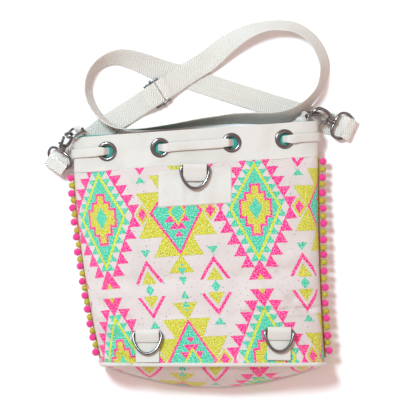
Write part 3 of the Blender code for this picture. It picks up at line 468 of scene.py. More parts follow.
def kilimGroup():
    # A repeat of 153 by 144 net squares, folded on itself: a runs from the large diamonds' column, c from the
    # column between, b from their middles and w from the rows between. Each motif is a test on these.
    tree = bpy.data.node_groups.new("kilimPattern", "ShaderNodeTree")
    tree.interface.new_socket("Place", in_out="INPUT", socket_type="NodeSocketVector")
    for name in ("Ground", "Pink", "Teal", "Yellow", "Line"):
        tree.interface.new_socket(name, in_out="INPUT", socket_type="NodeSocketColor")
    tree.interface.new_socket("Color", in_out="OUTPUT", socket_type="NodeSocketColor")
    tree.interface.new_socket("Thread", in_out="OUTPUT", socket_type="NodeSocketFloat")
    entry, leave = tree.nodes.new("NodeGroupInput"), tree.nodes.new("NodeGroupOutput")

    def do(operation, *values):
        return calc(tree, operation, *values)

    def line(value, slope, start):
        # slope * value + start
        return do("MULTIPLY_ADD", value, slope, start)

    def under(value, limit):
        return do("LESS_THAN", value, limit)

    def both(*masks):
        total = masks[0]
        for mask in masks[1:]:
            total = do("MULTIPLY", total, mask)
        return total

    def diamond(across, along, halfWidth, halfHeight):
        # across / half width + along / half height under 1
        return under(do("ADD", do("DIVIDE", across, halfWidth), do("DIVIDE", along, halfHeight)), 1.0)

    def between(value, low, high):
        return both(do("GREATER_THAN", value, low), under(value, high))

    def block(halfWidth, halfHeight):
        return both(under(a, halfWidth), under(b, halfHeight))

    def wedge(across, along, tip, base, halfWidth):
        # a triangle with its tip and its base at these places and that half width at the base
        slope = halfWidth / (base - tip)
        low, high = sorted((tip, base))
        return both(between(along, low, high), under(across, line(along, slope, -tip * slope)))

    wobble = tree.nodes.new("ShaderNodeVectorMath")
    wobble.operation = "MULTIPLY_ADD"
    tree.links.new(noiseOf(tree, entry.outputs["Place"], 0.55, 2.0, "Color"), wobble.inputs[0])
    wobble.inputs[1].default_value = (1.5, 1.5, 0.0)
    moved = tree.nodes.new("ShaderNodeVectorMath")
    tree.links.new(entry.outputs["Place"], moved.inputs[0])
    moved.inputs[1].default_value = (-0.75, -0.75, 0.0)
    tree.links.new(moved.outputs[0], wobble.inputs[2])
    split = tree.nodes.new("ShaderNodeSeparateXYZ")
    tree.links.new(wobble.outputs[0], split.inputs[0])
    a = do("PINGPONG", split.outputs[0], 76.5)
    b = do("PINGPONG", split.outputs[1], 72.0)
    c = line(a, -1.0, 76.5)
    w = line(b, -1.0, 72.0)
    d = do("ABSOLUTE", line(a, 1.0, -43.4))

    innerLine = line(b, -24.5 / 46.9, 24.5)
    outerLine = line(b, -34.3 / 67.5, 34.3)
    tealTeeth = do("MULTIPLY_ADD", do("FRACT", do("DIVIDE", b, 8.4)), 10.4, innerLine)
    pinkTeeth = do("MULTIPLY_ADD", do("FRACT", do("DIVIDE", b, 11.2)), 12.6, outerLine)
    pinkReach = do("MAXIMUM", pinkTeeth, line(outerLine, 1.0, 1.0))
    smallTeeth = do("MULTIPLY_ADD", do("FRACT", do("DIVIDE", line(b, 1.0, -2.2), 7.0)), 10.0, line(b, -0.61, 8.6))
    edgeOne = both(under(b, 23.0), under(c, line(b, 0.54, 25.6)))
    edgeTwo = both(between(b, 22.9, 41.5), under(c, line(b, 0.55, 2.35)))
    stroke = do("ABSOLUTE", do("SUBTRACT", d, line(w, -0.65, 17.0)))
    layers = (
        ("Teal", both(under(a, tealTeeth), under(b, 50.4))),
        ("Pink", both(under(a, pinkReach), do("GREATER_THAN", a, line(outerLine, 1.0, -0.9)), under(b, 56.0))),
        ("Pink", wedge(a, b, 48.7, 67.5, 12.0)),
        ("Yellow", wedge(a, b, 62.1, 67.5, 3.7)),
        ("Pink", do("MAXIMUM", block(5.6, 26.4), do("MAXIMUM", block(10.9, 17.6), block(16.2, 9.8)))),
        ("Yellow", do("MAXIMUM", block(3.3, 23.9), do("MAXIMUM", block(8.6, 15.2), block(13.9, 7.5)))),
        ("Teal", diamond(a, b, 6.6, 11.4)),
        ("Line", under(do("ABSOLUTE", line(do("ADD", do("DIVIDE", a, 24.5), do("DIVIDE", b, 46.9)), 1.0, -1.0)), 0.06)),
        ("Yellow", diamond(d, b, 6.8, 10.9)),
        ("Pink", diamond(d, b, 4.2, 6.6)),
        ("Yellow", do("MAXIMUM", edgeOne, edgeTwo)),
        ("Pink", diamond(c, b, 26.4, 41.0)),
        ("Teal", diamond(c, b, 23.6, 36.6)),
        ("Pink", both(under(c, smallTeeth), between(b, 2.2, 23.2))),
        ("Yellow", diamond(c, b, 9.4, 13.8)),
        ("Teal", diamond(c, b, 6.6, 9.7)),
        ("Yellow", wedge(c, w, 32.0, 14.5, 13.2)),
        ("Teal", wedge(c, w, 12.0, 19.0, 4.2)),
        ("Teal", wedge(c, w, 2.5, 10.5, 4.3)),
        ("Teal", wedge(c, w, 20.3, 23.0, 2.0)),
        ("Pink", both(under(stroke, 1.75), between(w, 6.7, 28.5))),
        ("Yellow", wedge(d, w, 18.5, 6.0, 7.4)),
        ("Teal", diamond(d, w, 4.2, 5.6)),
        ("Teal", wedge(d, w, 31.0, 38.0, 5.0)),
    )
    colour, cover = entry.outputs["Ground"], None
    for name, mask in layers:
        colour = blended(tree, mask, colour, entry.outputs[name])
        cover = mask if cover is None else do("MAXIMUM", cover, mask)
    tree.links.new(colour, leave.inputs["Color"])
    tree.links.new(cover, leave.inputs["Thread"])
    return tree


kilimPattern = kilimGroup()


def patternMaterial():
    # embroidered cotton: the pattern's colours with painted shade in the low places and painted highlight on the high
    # places of the pebbly thread, and flecks, raised over a woven ground
    made, tree, shader = newMaterial("patternedCloth", 0.85, sheen=0.2)
    place = coordinates(tree, "UV")
    body = coordinates(tree, "Object")
    pattern = tree.nodes.new("ShaderNodeGroup")
    pattern.node_tree = kilimPattern
    tree.links.new(place, pattern.inputs["Place"])
    for name in ("Pink", "Teal", "Yellow", "Line"):
        pattern.inputs[name].default_value = palette[name.lower()]
    blotch = ranged(tree, noiseOf(tree, body, 22.0, 3.0), 0.4, 0.7, 0.0, 0.6)
    tree.links.new(blended(tree, blotch, palette["ground"], linear(200, 192, 188)), pattern.inputs["Ground"])
    thread = pattern.outputs["Thread"]
    pebble = noiseOf(tree, place, 0.8, 2.0)
    # painted shade: the thread darkens where the pebbly relief is low
    dark = calc(tree, "MULTIPLY", ranged(tree, pebble, 0.5, 0.38, 0.0, 0.6), thread)
    colour = blended(tree, dark, pattern.outputs["Color"], blended(tree, 0.55, pattern.outputs["Color"], (0, 0, 0, 1)))
    # painted highlight: the thread lightens towards white where the pebbly relief is high
    light = calc(tree, "MULTIPLY", ranged(tree, pebble, 0.52, 0.64, 0.0, 0.36), thread)
    colour = blended(tree, light, colour, (1, 1, 1, 1))
    fleck = ranged(tree, noiseOf(tree, place, 0.55, 0.0), 0.745, 0.785, 0.0, 0.6)
    colour = blended(tree, fleck, colour, palette["speck"])
    tree.links.new(colour, shader.inputs["Base Color"])
    weave = woven(tree, place, 0.62)
    ground = calc(tree, "MULTIPLY", weave, 0.25)
    raised = calc(tree, "MULTIPLY", thread, calc(tree, "MULTIPLY_ADD", pebble, 1.3, 0.35))
    bumped(tree, shader, calc(tree, "ADD", ground, raised), 0.0007, 0.9)
    return made


def pompomMaterial(name, colour):
    # yarn ends: the colour darkened by a fine noise where its bump is low, painted shade in the hollows between the
    # ends, very matt with sheen
    made, tree, shader = newMaterial(name, 1.0, sheen=0.35)
    place = coordinates(tree, "Object")
    fluff = noiseOf(tree, place, 1500.0, 2.0)
    shade = blended(tree, 0.45, colour, (0, 0, 0, 1))
    # painted shade: darker where the fluff bump is low
    tree.links.new(blended(tree, ranged(tree, fluff, 0.35, 0.62, 0.6, 0.0), colour, shade), shader.inputs["Base Color"])
    bumped(tree, shader, fluff, 0.0005, 0.8)
    return made


canvasMaterial = clothMaterial("canvas", palette["canvas"], palette["canvasShade"])
# the lining's teal is darkened as painted shade for the inside of the bag
liningMaterial = clothMaterial("tealLining", palette["lining"], linear(40, 140, 130), 0.0006, flecks=False)
threadMaterial = clothMaterial("sewingThread", palette["thread"], palette["canvasShade"], 0.0003, flecks=False)
tapeMaterial = clothMaterial("trimTape", palette["tape"], linear(226, 50, 120), 0.0006, flecks=False)
nickelMaterial = metalMaterial("darkNickel")
webbingCotton = webbingMaterial()
patternedCotton = patternMaterial()
pinkYarn = pompomMaterial("pinkYarn", palette["pompomPink"])
mustardYarn = pompomMaterial("mustardYarn", palette["pompomMustard"])
print("materials made")


# Shape of the bag: along runs from 0 at the mouth to 1 at the base seam


bag = {
    "mouthWidth": 280.0,
    "baseWidth": 256.0,
    "waistBulge": 2.5,
    "length": 266.5,
    "mouthHeight": 34.0,
    "baseHeight": 62.0,
    "mouthSeam": 15.0,
    "baseSeam": 24.0,
    "mouthFloor": 5.5,
    "cornerLift": 5.0,
    "baseReach": 27.0,
    "mouthShift": -20.0,
    "place": (6.0, -42.75),
    "skew": 0.07,
    "mouthRound": 2.6,
    "baseRound": 3.2,
    "band": 41.0,
    # soft creases: from, to, depth, width
    "creases": (
        ((-136, -44), (130, -32), 3.0, 9.0),
        ((92, -64), (132, -96), 3.6, 8.0),
        ((-136, -60), (-88, -94), 3.8, 8.0),
        ((-127, -114), (-108, -104), 3.2, 7.0),
        ((78, -28), (136, -22), 2.4, 7.0),
    ),
}
bandShare = bag["band"] / bag["length"]
seamGap = 0.5


def centreX(along):
    # the base lies a little to the right of the mouth
    return bag["mouthShift"] * (1 - along**2)


def halfWidth(along):
    # straight taper with a slight bulge below the band
    bulge = bag["waistBulge"] * np.sin(np.pi * np.maximum(along, 0) ** 0.6)
    return mixed(bag["mouthWidth"], bag["baseWidth"], along) / 2 + bulge


def seamHeight(along):
    return mixed(bag["mouthSeam"], bag["baseSeam"], along)


def roundness(along):
    return mixed(bag["mouthRound"], bag["baseRound"], along)


def bodyY(x, along):
    # length * (0.5 - along), askew at the mouth
    return bag["length"] * (0.5 - along) + bag["skew"] * (1 - along**2) * (x - centreX(along))


def lineDistance(x, y, start, end):
    # how far a place is from a line between two points, and on which side of it
    start, end = np.array(start, float), np.array(end, float)
    run = end - start
    share = np.clip(((x - start[0]) * run[0] + (y - start[1]) * run[1]) / (run**2).sum(), 0, 1)
    away = np.hypot(x - start[0] - share * run[0], y - start[1] - share * run[1])
    return away, (x - start[0]) * run[1] - (y - start[1]) * run[0]


def creaseDepth(x, y):
    # each crease: depth * exp(-(distance/width)^2), less half of it as a ridge beside
    total = np.zeros(np.broadcast(x, y).shape)
    for start, end, depth, width in bag["creases"]:
        away, aside = lineDistance(x, y, start, end)
        total += depth * np.exp(-((away / width) ** 2))
        total -= 0.5 * depth * np.exp(-(((away - 1.8 * width) / width) ** 2)) * (aside > 0)
    return total


def bodyPoints(angle, along, inset=0.0, parted=0.0, creased=0.0):
    # superellipse sections: cos^p across and sin^p up, from the seam to the crown and to the floor
    angle, along = np.broadcast_arrays(np.asarray(angle, float), np.asarray(along, float))
    power = 2 / roundness(along)
    across = np.sign(np.cos(angle)) * np.abs(np.cos(angle)) ** power
    rise = np.abs(np.sin(angle)) ** power
    x = centreX(along) + (halfWidth(along) - inset) * across
    y = bodyY(x, along)
    seam = seamHeight(along)
    crown = mixed(bag["mouthHeight"], bag["baseHeight"], np.maximum(along, 0) ** 1.7)
    floor = bag["mouthFloor"] * np.clip(1 - along / 0.45, 0, 1) ** 1.5
    over = seam + parted + (crown - inset - seam - parted) * rise
    below = seam - parted - (seam - parted - floor - inset) * rise
    upper = np.sin(angle) >= 0
    y = np.where(upper, y, y - bag["baseReach"] * (1 - across**2) * along**2)
    z = np.where(upper, over - creased * creaseDepth(x, y) * rise, below)
    lift = bag["cornerLift"] * (1 - across) / 2 * np.clip(1 - along / 0.6, 0, 1) ** 2
    return np.stack((x + bag["place"][0], y + bag["place"][1], z + lift), -1)


def backAngle(x, along):
    # the inverse of cos^p at a place across
    across = np.clip((x - centreX(along)) / halfWidth(along), -1, 1)
    return np.arccos(np.sign(across) * np.abs(across) ** (roundness(along) / 2))


def surfaceFrame(x, along, under=False):
    # a point of the smooth outer face and its normal, from close neighbours
    side, small = (-1 if under else 1), 0.004
    here = bodyPoints(side * backAngle(x, along), along)
    right = bodyPoints(side * backAngle(x + 2, along), along)
    left = bodyPoints(side * backAngle(x - 2, along), along)
    up = bodyPoints(side * backAngle(x, along - small), along - small)
    down = bodyPoints(side * backAngle(x, along + small), along + small)
    return here, unit(np.cross(right - left, up - down)) * side


wrinkles = {
    "broad": (1.1, 58.0),
    "middle": (0.85, 21.0),
    "small": (0.32, 8.0),
    "fine": (0.1, 3.2),
    "seamPucker": (0.55, 6.5, 13.0),
    # sharp folds: from, to, depth, width
    "folds": (
        ((84, -98), (132, -137), 2.8, 2.4),
        ((98, -72), (128, -82), 1.1, 2.6),
        ((-134, -88), (-96, -84), 1.0, 3.0),
        ((36, -77), (130, -71), 2.2, 2.6),
        ((-60, -80), (36, -79), 0.8, 3.4),
        ((-134, -118), (-92, -131), 2.4, 3.0),
        ((-120, -150), (-86, -128), 2.2, 3.2),
        ((-127, -141), (-102, -166), 1.8, 2.6),
        ((-108, -118), (-98, -160), 1.6, 3.4),
        ((62, -44), (92, -60), 0.7, 4.0),
        ((-8, -90), (14, -70), 0.8, 4.0),
        ((-120, -20), (-96, -62), 0.8, 4.0),
        ((-40, -118), (40, -112), 0.6, 5.0),
    ),
}


def wrinkle(x, y):
    # noise of four sizes, puckers below the band's seam that die out with distance, and the sharp folds
    slant = 0.8 * x + 0.6 * y
    total = wrinkles["broad"][0] * softNoise(x, y, wrinkles["broad"][1], 1)
    total = total + wrinkles["middle"][0] * softNoise(slant, 0.6 * x - 0.8 * y, wrinkles["middle"][1], 2)
    total = total + wrinkles["small"][0] * softNoise(x, y, wrinkles["small"][1], 3)
    total = total + wrinkles["fine"][0] * softNoise(x, y, wrinkles["fine"][1], 4)
    depth, pitch, reach = wrinkles["seamPucker"]
    below = np.maximum(49.5 + bag["skew"] * x - y, 0)
    total = total + depth * softNoise(x, 0.15 * y, pitch, 5) * np.exp(-below / reach)
    base = np.maximum(y + 176, 0)
    total = total + depth * softNoise(x, 0.15 * y, pitch * 1.4, 6) * np.exp(-base / reach)
    for start, end, fold, width in wrinkles["folds"]:
        away, aside = lineDistance(x, y, start, end)
        total = total - fold * np.exp(-((away / width) ** 2))
        total = total + 0.6 * fold * np.exp(-(((away - 2.2 * width) / width) ** 2)) * (aside > 0)
    return total


def clothPoints(angle, along, parted=seamGap):
    # the body's points with creases and wrinkles, which fade out towards the side seams
    points = bodyPoints(angle, along, parted=parted, creased=1.0)
    fade = np.clip(np.abs(np.sin(angle)) * 2.2, 0, 1)
    points[..., 2] += wrinkle(points[..., 0] - bag["place"][0], points[..., 1] - bag["place"][1]) * fade
    return points


def onCloth(x, along, height):
    # a place over the wrinkled cloth, and the smooth face's normal there
    x, along = np.broadcast_arrays(np.asarray(x, float), np.asarray(along, float))
    point = clothPoints(backAngle(x, along), along)
    normal = surfaceFrame(x, along)[1]
    return point + normal * height, normal


# the share of the bag's length where the pattern's columns were read
netLevel = 0.34
columnNet = (
    # a column of the picture's row 207.6 and the pattern's step there
    (74.0, -189.0),
    (82.7, -177.5),
    (101.0, -153.0),
    (124.2, -128.5),
    (141.5, -110.0),
    (177.6, -76.5),
    (200.3, -51.8),
    (210.4, -43.2),
    (230.3, -24.5),
    (255.4, 0.0),
    (280.1, 24.5),
    (298.2, 43.0),
    (308.8, 52.0),
    (316.5, 65.0),
    (319.5, 74.0),
)
rowNet = ((0, -211), (155, -56), (164.7, -46.9), (207.6, 0), (256.5, 46), (284, 72), (309, 97), (357, 144), (500, 287))


def arcsFromMiddle(grid):
    # arc length along each row of a grid, less its value at the middle column
    lengths = np.linalg.norm(np.diff(grid, axis=1), axis=-1)
    arcs = np.concatenate((np.zeros((len(grid), 1)), np.cumsum(lengths, 1)), 1)
    return arcs - arcs[:, grid.shape[1] // 2][:, None]


def netPlace(points, along, mirror=1):
    # UV on the pattern's net: across by arc length from the middle, drawn in on the left as the bag narrows, and
    # down by the picture's rows with their slope
    columns, rows = 208 + points[..., 0] / 1.15, 208 - points[..., 1] / 1.15
    slope = 0.068 * (columns - 255) - 0.0002 * ((columns - 178) ** 2 - 77**2)
    down = np.interp(rows + slope, *zip(*rowNet))
    middle = np.radians(np.linspace(180, 0, 721))
    level = bodyPoints(middle[None, :], np.full((1, 1), netLevel), parted=seamGap)
    places, steps = np.array(columnNet).T
    knots = np.interp(places, 208 + level[0, :, 0] / 1.15, arcsFromMiddle(level)[0])
    knots = np.concatenate(((knots[0] - 200,), knots, (knots[-1] + 200,)))
    steps = np.concatenate(((steps[0] - 174,), steps, (steps[-1] + 174,)))
    arcs = arcsFromMiddle(points) * mirror
    arcs = np.where(arcs < 0, arcs * halfWidth(netLevel) / halfWidth(along), arcs)
    return np.stack((np.interp(arcs, knots, steps), down), -1)


cloth = {
    "over": 0.004,
    "backEnd": 1.008,
    "frontEnd": 1.004,
    "backGrid": (250, 321),
    "frontGrid": (140, 201),
    "dent": 0.105,
    "dentSize": 14.0,
    "clear": 0.1,
}


def makeBodyCloth():
    # the back from left seam to right seam, and the front from right to left with shallow dents, as fine grids
    over = cloth["over"]
    along = np.linspace(bandShare - over, cloth["backEnd"], cloth["backGrid"][0])[:, None]
    turn = np.linspace(np.pi - over, over, cloth["backGrid"][1])[None, :]
    uvs = netPlace(bodyPoints(turn, along, parted=seamGap), along)
    piece = gridPiece("backCloth", clothPoints(turn, along), patternedCotton, uvs)
    dressed(piece, "bag", ["back_panel"])
    along = np.linspace(bandShare - over, cloth["frontEnd"], cloth["frontGrid"][0])[:, None]
    turn = np.linspace(-over, over - np.pi, cloth["frontGrid"][1])[None, :]
    grid = bodyPoints(turn, along, parted=seamGap)
    uvs = netPlace(grid, along, -1)
    dent = cloth["dent"] * (1 - softNoise(grid[..., 0], grid[..., 1], cloth["dentSize"], 9))
    grid[..., 2] = np.maximum(grid[..., 2] + dent * np.clip(np.abs(np.sin(turn)) * 2, 0, 1), cloth["clear"])
    dressed(gridPiece("frontCloth", grid, patternedCotton, uvs), "bag", ["front_panel"])


makeBodyCloth()
print("body cloth made")


# Base


piping = {
    "radius": 2.35,
    "sink": 3.05,
    "parted": 4.45,
    "drop": 0.72,
    "inset": 0.2,
    "clear": 0.1,
    "count": 170,
    "rings": 420,
}
baseCloth = {
    "grid": (61, 241),
    "bulge": 3.0,
    "power": 0.62,
    "inset": 4.3,
    # depth, size and seed of two noises
    "dents": ((0.5, 26.0, 21), (0.25, 9.0, 22)),
    "clear": 0.3,
    "netMiddle": 58.65,
    "netStart": 77.0,
    "netScale": 0.8,
}


def pipingPlaces():
    # the piping's centre along the back seam and the front seam, left to right
    turns = np.pi - np.radians(np.linspace(2, 178, piping["count"]))
    back = clothPoints(turns, np.float64(1.0), parted=piping["parted"]) - (0, piping["sink"], piping["drop"])
    front = bodyPoints(-turns, 1.0, parted=piping["parted"], inset=piping["inset"]) - (0, piping["sink"], 0)
    front[:, 2] = np.maximum(front[:, 2], piping["radius"] + piping["clear"])
    return back, front


def makeBase():
    # the piping as one closed tube, the base cloth as a grid that bulges out and down between its two sides
    back, front = pipingPlaces()
    count = piping["rings"]
    loop = evenLoop(np.vstack((back, front[::-1])), count)
    radii = piping["radius"] * (1 + 0.05 * softNoise(np.arange(count) * 1.7, np.zeros(count), 4.0, 12))
    points, faces = tube(loop, radii, (0.0, -1.0, 0.0), closed=True)
    dressed(meshPiece("basePiping", points, faces, [canvasMaterial]), "bag", ["base_piping"])
    rows, columns = baseCloth["grid"]
    turns = np.pi - np.radians(np.linspace(3, 177, columns))
    top = bodyPoints(turns, 1.0, inset=baseCloth["inset"], parted=piping["parted"], creased=1.0)
    bottom = bodyPoints(-turns, 1.0, inset=baseCloth["inset"], parted=piping["parted"])
    share = np.linspace(0, 1, rows)[:, None]
    grid = mixed(top, bottom, share[..., None])
    swell = baseCloth["bulge"] * np.sin(np.pi * share) ** 0.8
    reach = bottom[:, 1] - top[:, 1]
    grid[..., 1] = top[:, 1] + reach * share ** baseCloth["power"] - piping["sink"] - swell
    dents = sum(depth * softNoise(grid[..., 0], grid[..., 2], size, seed) for depth, size, seed in baseCloth["dents"])
    grid[..., 1] += dents * np.sin(np.pi * share)
    grid[..., 2] = np.maximum(grid[..., 2], baseCloth["clear"])
    lengths = np.linalg.norm(np.diff(grid, axis=0), axis=-1)
    down = np.concatenate((np.zeros((1, columns)), np.cumsum(lengths, 0)))
    across = (grid[..., 0] - baseCloth["netMiddle"]) / 1.15
    uvs = np.stack((across, baseCloth["netStart"] + baseCloth["netScale"] * down / 1.15), -1)
    dressed(gridPiece("baseCloth", grid, patternedCotton, uvs), "bag", ["base_panel"])


makeBase()
print("base made")


# Band round the mouth, lining, eyelets and drawstring


eyelet = {
    "drop": 18.5,
    "inner": 41.0,
    "outer": 102.0,
    "hole": 6.8,
    "flange": 11.4,
    "washer": 9.6,
    "crown": 1.5,
    "wall": 0.9,
}
band = {
    "grid": (34, 700),
    "thickness": 1.5,
    "cut": 8.6,
    "settled": 12.0,
    "free": 17.0,
    "frontShare": -0.3,
    "stack": 9.0,
}
lining = {"grid": (60, 240), "inset": 3.4, "thickness": 0.6, "slack": 4.5, "proud": 0.0055, "deep": 0.94}
gap = 0.35
stackDepth = lining["inset"] + lining["thickness"]


def eyeletPlaces():
    # name, place across and face of the eight eyelets, from left to right
    along = eyelet["drop"] / bag["length"]
    spread = (-eyelet["outer"], -eyelet["inner"], eyelet["inner"], eyelet["outer"])
    return [
        (f"eyelet_{face}_{number}", centreX(along) + offset, along, face == "front")
        for face in ("back", "front")
        for number, offset in enumerate(spread, 1)
    ]


def onFace(point, normal):
    # a frame on a face: local X across the bag, local Z along the normal
    across = squared((1, 0, 0), normal)
    return placed(point, across, np.cross(normal, across))


def rumple(x, y):
    # two noises, the finer one drawn out along y, kept below the smooth face
    return 0.35 * softNoise(x, y, 21.0, 31) + 0.2 * softNoise(x, 0.4 * y, 7.0, 32) - 0.35


def makeBand():
    # a closed loop of canvas with the eyelets' holes left open and its cloth drawn in softly beside them
    along = np.linspace(-0.0005, bandShare, band["grid"][0])[:, None]
    turn = np.linspace(np.pi, -np.pi, band["grid"][1], endpoint=False)[None, :]
    grid = bodyPoints(turn, along)
    ease = np.sin(np.pi * np.clip(along / bandShare, 0, 1)) ** 0.6 * np.clip(np.abs(np.sin(turn)) * 2, 0, 1)
    share = np.where(np.sin(turn) > 0, 1.0, band["frontShare"])
    grid[..., 2] += share * rumple(grid[..., 0], grid[..., 1]) * ease
    holes = np.zeros(grid.shape[:2], bool)
    for name, x, station, under in eyeletPlaces():
        point, normal = surfaceFrame(x, station, under)
        height = (grid - point) @ normal
        rise = height[..., None] * normal
        away = np.linalg.norm(grid - point - rise, axis=-1)
        away[np.abs(height) > band["stack"]] += 2 * band["free"]
        holes |= away < band["cut"]
        grid = grid - np.clip((band["free"] - away) / (band["free"] - band["settled"]), 0, 1)[..., None] * rise
    faces = gridFaces(*band["grid"], wrapColumns=True)
    stretch = np.stack(np.broadcast_arrays(turn, along), -1)
    piece = gridPiece("bandCloth", grid, canvasMaterial, stretch, faces[~holes.ravel()[faces].any(1)])
    thicken(piece, band["thickness"])
    dressed(piece, "bag", ["top_band"])


def makeLining():
    # a thin pouch inside, whose edge stands a little proud at the left of the mouth
    rows, columns = lining["grid"]
    stations = np.linspace(0.0, 1.0, rows)[:, None] ** 1.2 * lining["deep"]
    turn = np.linspace(np.pi, -np.pi, columns, endpoint=False)[None, :]
    left = np.clip((-np.cos(turn) - 0.55) / 0.25, 0, 1) * (np.sin(turn) > -0.3)
    proud = lining["proud"] * left * (stations < 0.001)
    slack = lining["slack"] * np.clip((stations - bandShare) / 0.1, 0, 1)
    grid = bodyPoints(turn, stations + 0.001 - proud, inset=lining["inset"] - 1.0 * (proud > 0) + slack)
    piece = gridPiece("liningCloth", grid, liningMaterial, faces=gridFaces(rows, columns, wrapColumns=True))
    thicken(piece, lining["thickness"])
    dressed(piece, "bag", ["lining"])


def makeEyelets():
    # a rolled grommet: flange with a round crown outside, tube through the cloths, washer inside
    hole, flange, washer = eyelet["hole"], eyelet["flange"], eyelet["washer"]
    tubeRadius = hole + eyelet["wall"]
    inner = -stackDepth - gap
    height = eyelet["crown"] - 0.1
    profile = [
        (mixed(hole, flange, share), gap + height * math.sin(math.pi * share) ** 0.55 + 0.02)
        for share in np.linspace(0.02, 0.98, 18)
    ]
    profile += [(flange, gap - 0.2), (tubeRadius, gap - 0.2), (tubeRadius, inner + 0.1), (washer, inner + 0.1)]
    profile += [(washer, inner - 0.3), (washer - 0.8, inner - 0.6), (hole + 0.3, inner - 0.6)]
    profile += [(hole, inner - 0.2), (hole, -1.0)]
    points, faces = turned(profile[::-1], 56)
    for name, x, along, under in eyeletPlaces():
        words = "".join(word.capitalize() for word in name.split("_"))
        placing = onFace(*surfaceFrame(x, along, under))
        piece = meshPiece("smooth" + words, inFrame(placing, points), faces, [nickelMaterial])
        dressed(piece, "bag", [name])


drawstring = {"width": 10.2, "thickness": 2.4, "routed": 2.2, "clear": 0.5, "end": 34.0, "turn": 30.0}


def cordStation(x, along, under, height):
    point, normal = surfaceFrame(x, along, under)
    return point + normal * height


def drawstringRoute():
    # rows of place, width and width direction: ends in front, through every eyelet, round both sides
    along = eyelet["drop"] / bag["length"]
    half = drawstring["routed"] / 2
    outside = eyelet["crown"] + gap + half + 0.3
    inside = -(stackDepth + gap + 0.6 + half + drawstring["clear"])
    middle = centreX(along)
    sideways = np.array((0.0, 1.0, 0.0))
    settle = 0.36 * drawstring["routed"]

    def through(x, under, outward):
        clear, edge = 1.4 * eyelet["flange"], 1.4 * eyelet["hole"]
        lip, core = 0.62 * eyelet["hole"], 0.3 * eyelet["hole"]
        passage = (
            (clear, outside - settle, 1.0),
            (edge, outside, 1.0),
            (lip, outside, 0.9),
            (core, 0.1 * stackDepth, 0.8),
            (-core, -1.15 * stackDepth, 0.8),
            (-lip, inside, 0.88),
            (-edge, inside, 1.0),
            (-clear, inside + settle, 1.0),
        )
        centre, normal = surfaceFrame(x, along, under)
        tangent = squared((outward, 0, 0), normal)
        level = squared(sideways, normal)
        rows = []
        for t, height, gather in passage:
            if abs(t) < eyelet["flange"]:
                place = centre + tangent * t + normal * height
            else:
                place = cordStation(x + outward * t, along, under, height)
            rows.append((*place, drawstring["width"] * gather, *level))
        return rows

    def wrap(side):
        bend = drawstring["turn"]
        start, end = (bend, -bend) if side > 0 else (180 - bend, 180 + bend)
        rows = []
        for turn in np.radians(np.linspace(start, end, 9)):
            place = bodyPoints(turn, along)
            outward = unit(np.cross(sideways, bodyPoints(turn + 0.01, along) - place))
            rows.append((*(place + outward * (half + drawstring["clear"])), drawstring["width"], *sideways))
        return rows

    def loose(x):
        return [(*cordStation(x, along, True, outside - 0.6), drawstring["width"], *sideways)]

    inner, outer = eyelet["inner"], eyelet["outer"]
    route = loose(middle + inner - drawstring["end"])
    route += through(middle + inner, True, -1) + through(middle + outer, True, 1)[::-1] + wrap(1)[::-1]
    route += through(middle + outer, False, 1) + through(middle + inner, False, -1)[::-1]
    route += through(middle - inner, False, 1) + through(middle - outer, False, -1)[::-1] + wrap(-1)
    route += through(middle - outer, True, -1) + through(middle - inner, True, 1)[::-1]
    return np.array(route + loose(middle - inner + drawstring["end"]))


def makeDrawstring():
    # the route smoothed and spaced at 1 mm, with a soft flat section and stitched edges
    rows = spaced(smoothed(drawstringRoute(), 6), 1.0)
    line, widths = rows[:, :3], rows[:, 3]
    points, faces = ribbon(line, rows[:, 4:], section(1.0, drawstring["thickness"], 28, 0.45, 0.7), widths)
    piece = meshPiece("drawstringCord", points, faces, [canvasMaterial])
    dressed(piece, "bag", ["drawstring"])
    tangents = unit(np.gradient(line, axis=0))
    across = squared(rows[:, 4:], tangents)
    ups = np.cross(tangents, across)
    height = drawstring["thickness"] / 2 - 0.12
    runs = [
        stitchRun(line + across * widths[:, None] * edge + ups * face * height, ups * face, 2.6, 1.7, 0.24)
        for edge in (-0.36, 0.36)
        for face in (-1, 1)
    ]
    stitches = sewn("drawstringStitches", runs, "canvas")


makeBand()
makeLining()
makeEyelets()
makeDrawstring()
print("mouth made")


# Patch and ring tabs on the back


patch = {"x": -21.0, "width": 84.0, "height": 42.0, "drop": 4.0, "lift": 0.25, "thickness": 0.9, "seam": 2.4}
ring = {"inner": 30.0, "depth": 25.5, "wire": 3.4, "tilt": 4.0}
tab = {"thickness": 1.0, "width": 27.0, "top": 17.0, "low": 27.0, "spacing": 150.0, "rise": 35.0, "sag": 0.5}


def patchPlace(xShare, yShare, height):
    # shares across and down the patch as a place over the wrinkled cloth
    x = patch["x"] + (xShare - 0.5) * patch["width"]
    along = bandShare + (patch["drop"] + yShare * patch["height"]) / bag["length"]
    return onCloth(x, along, height)


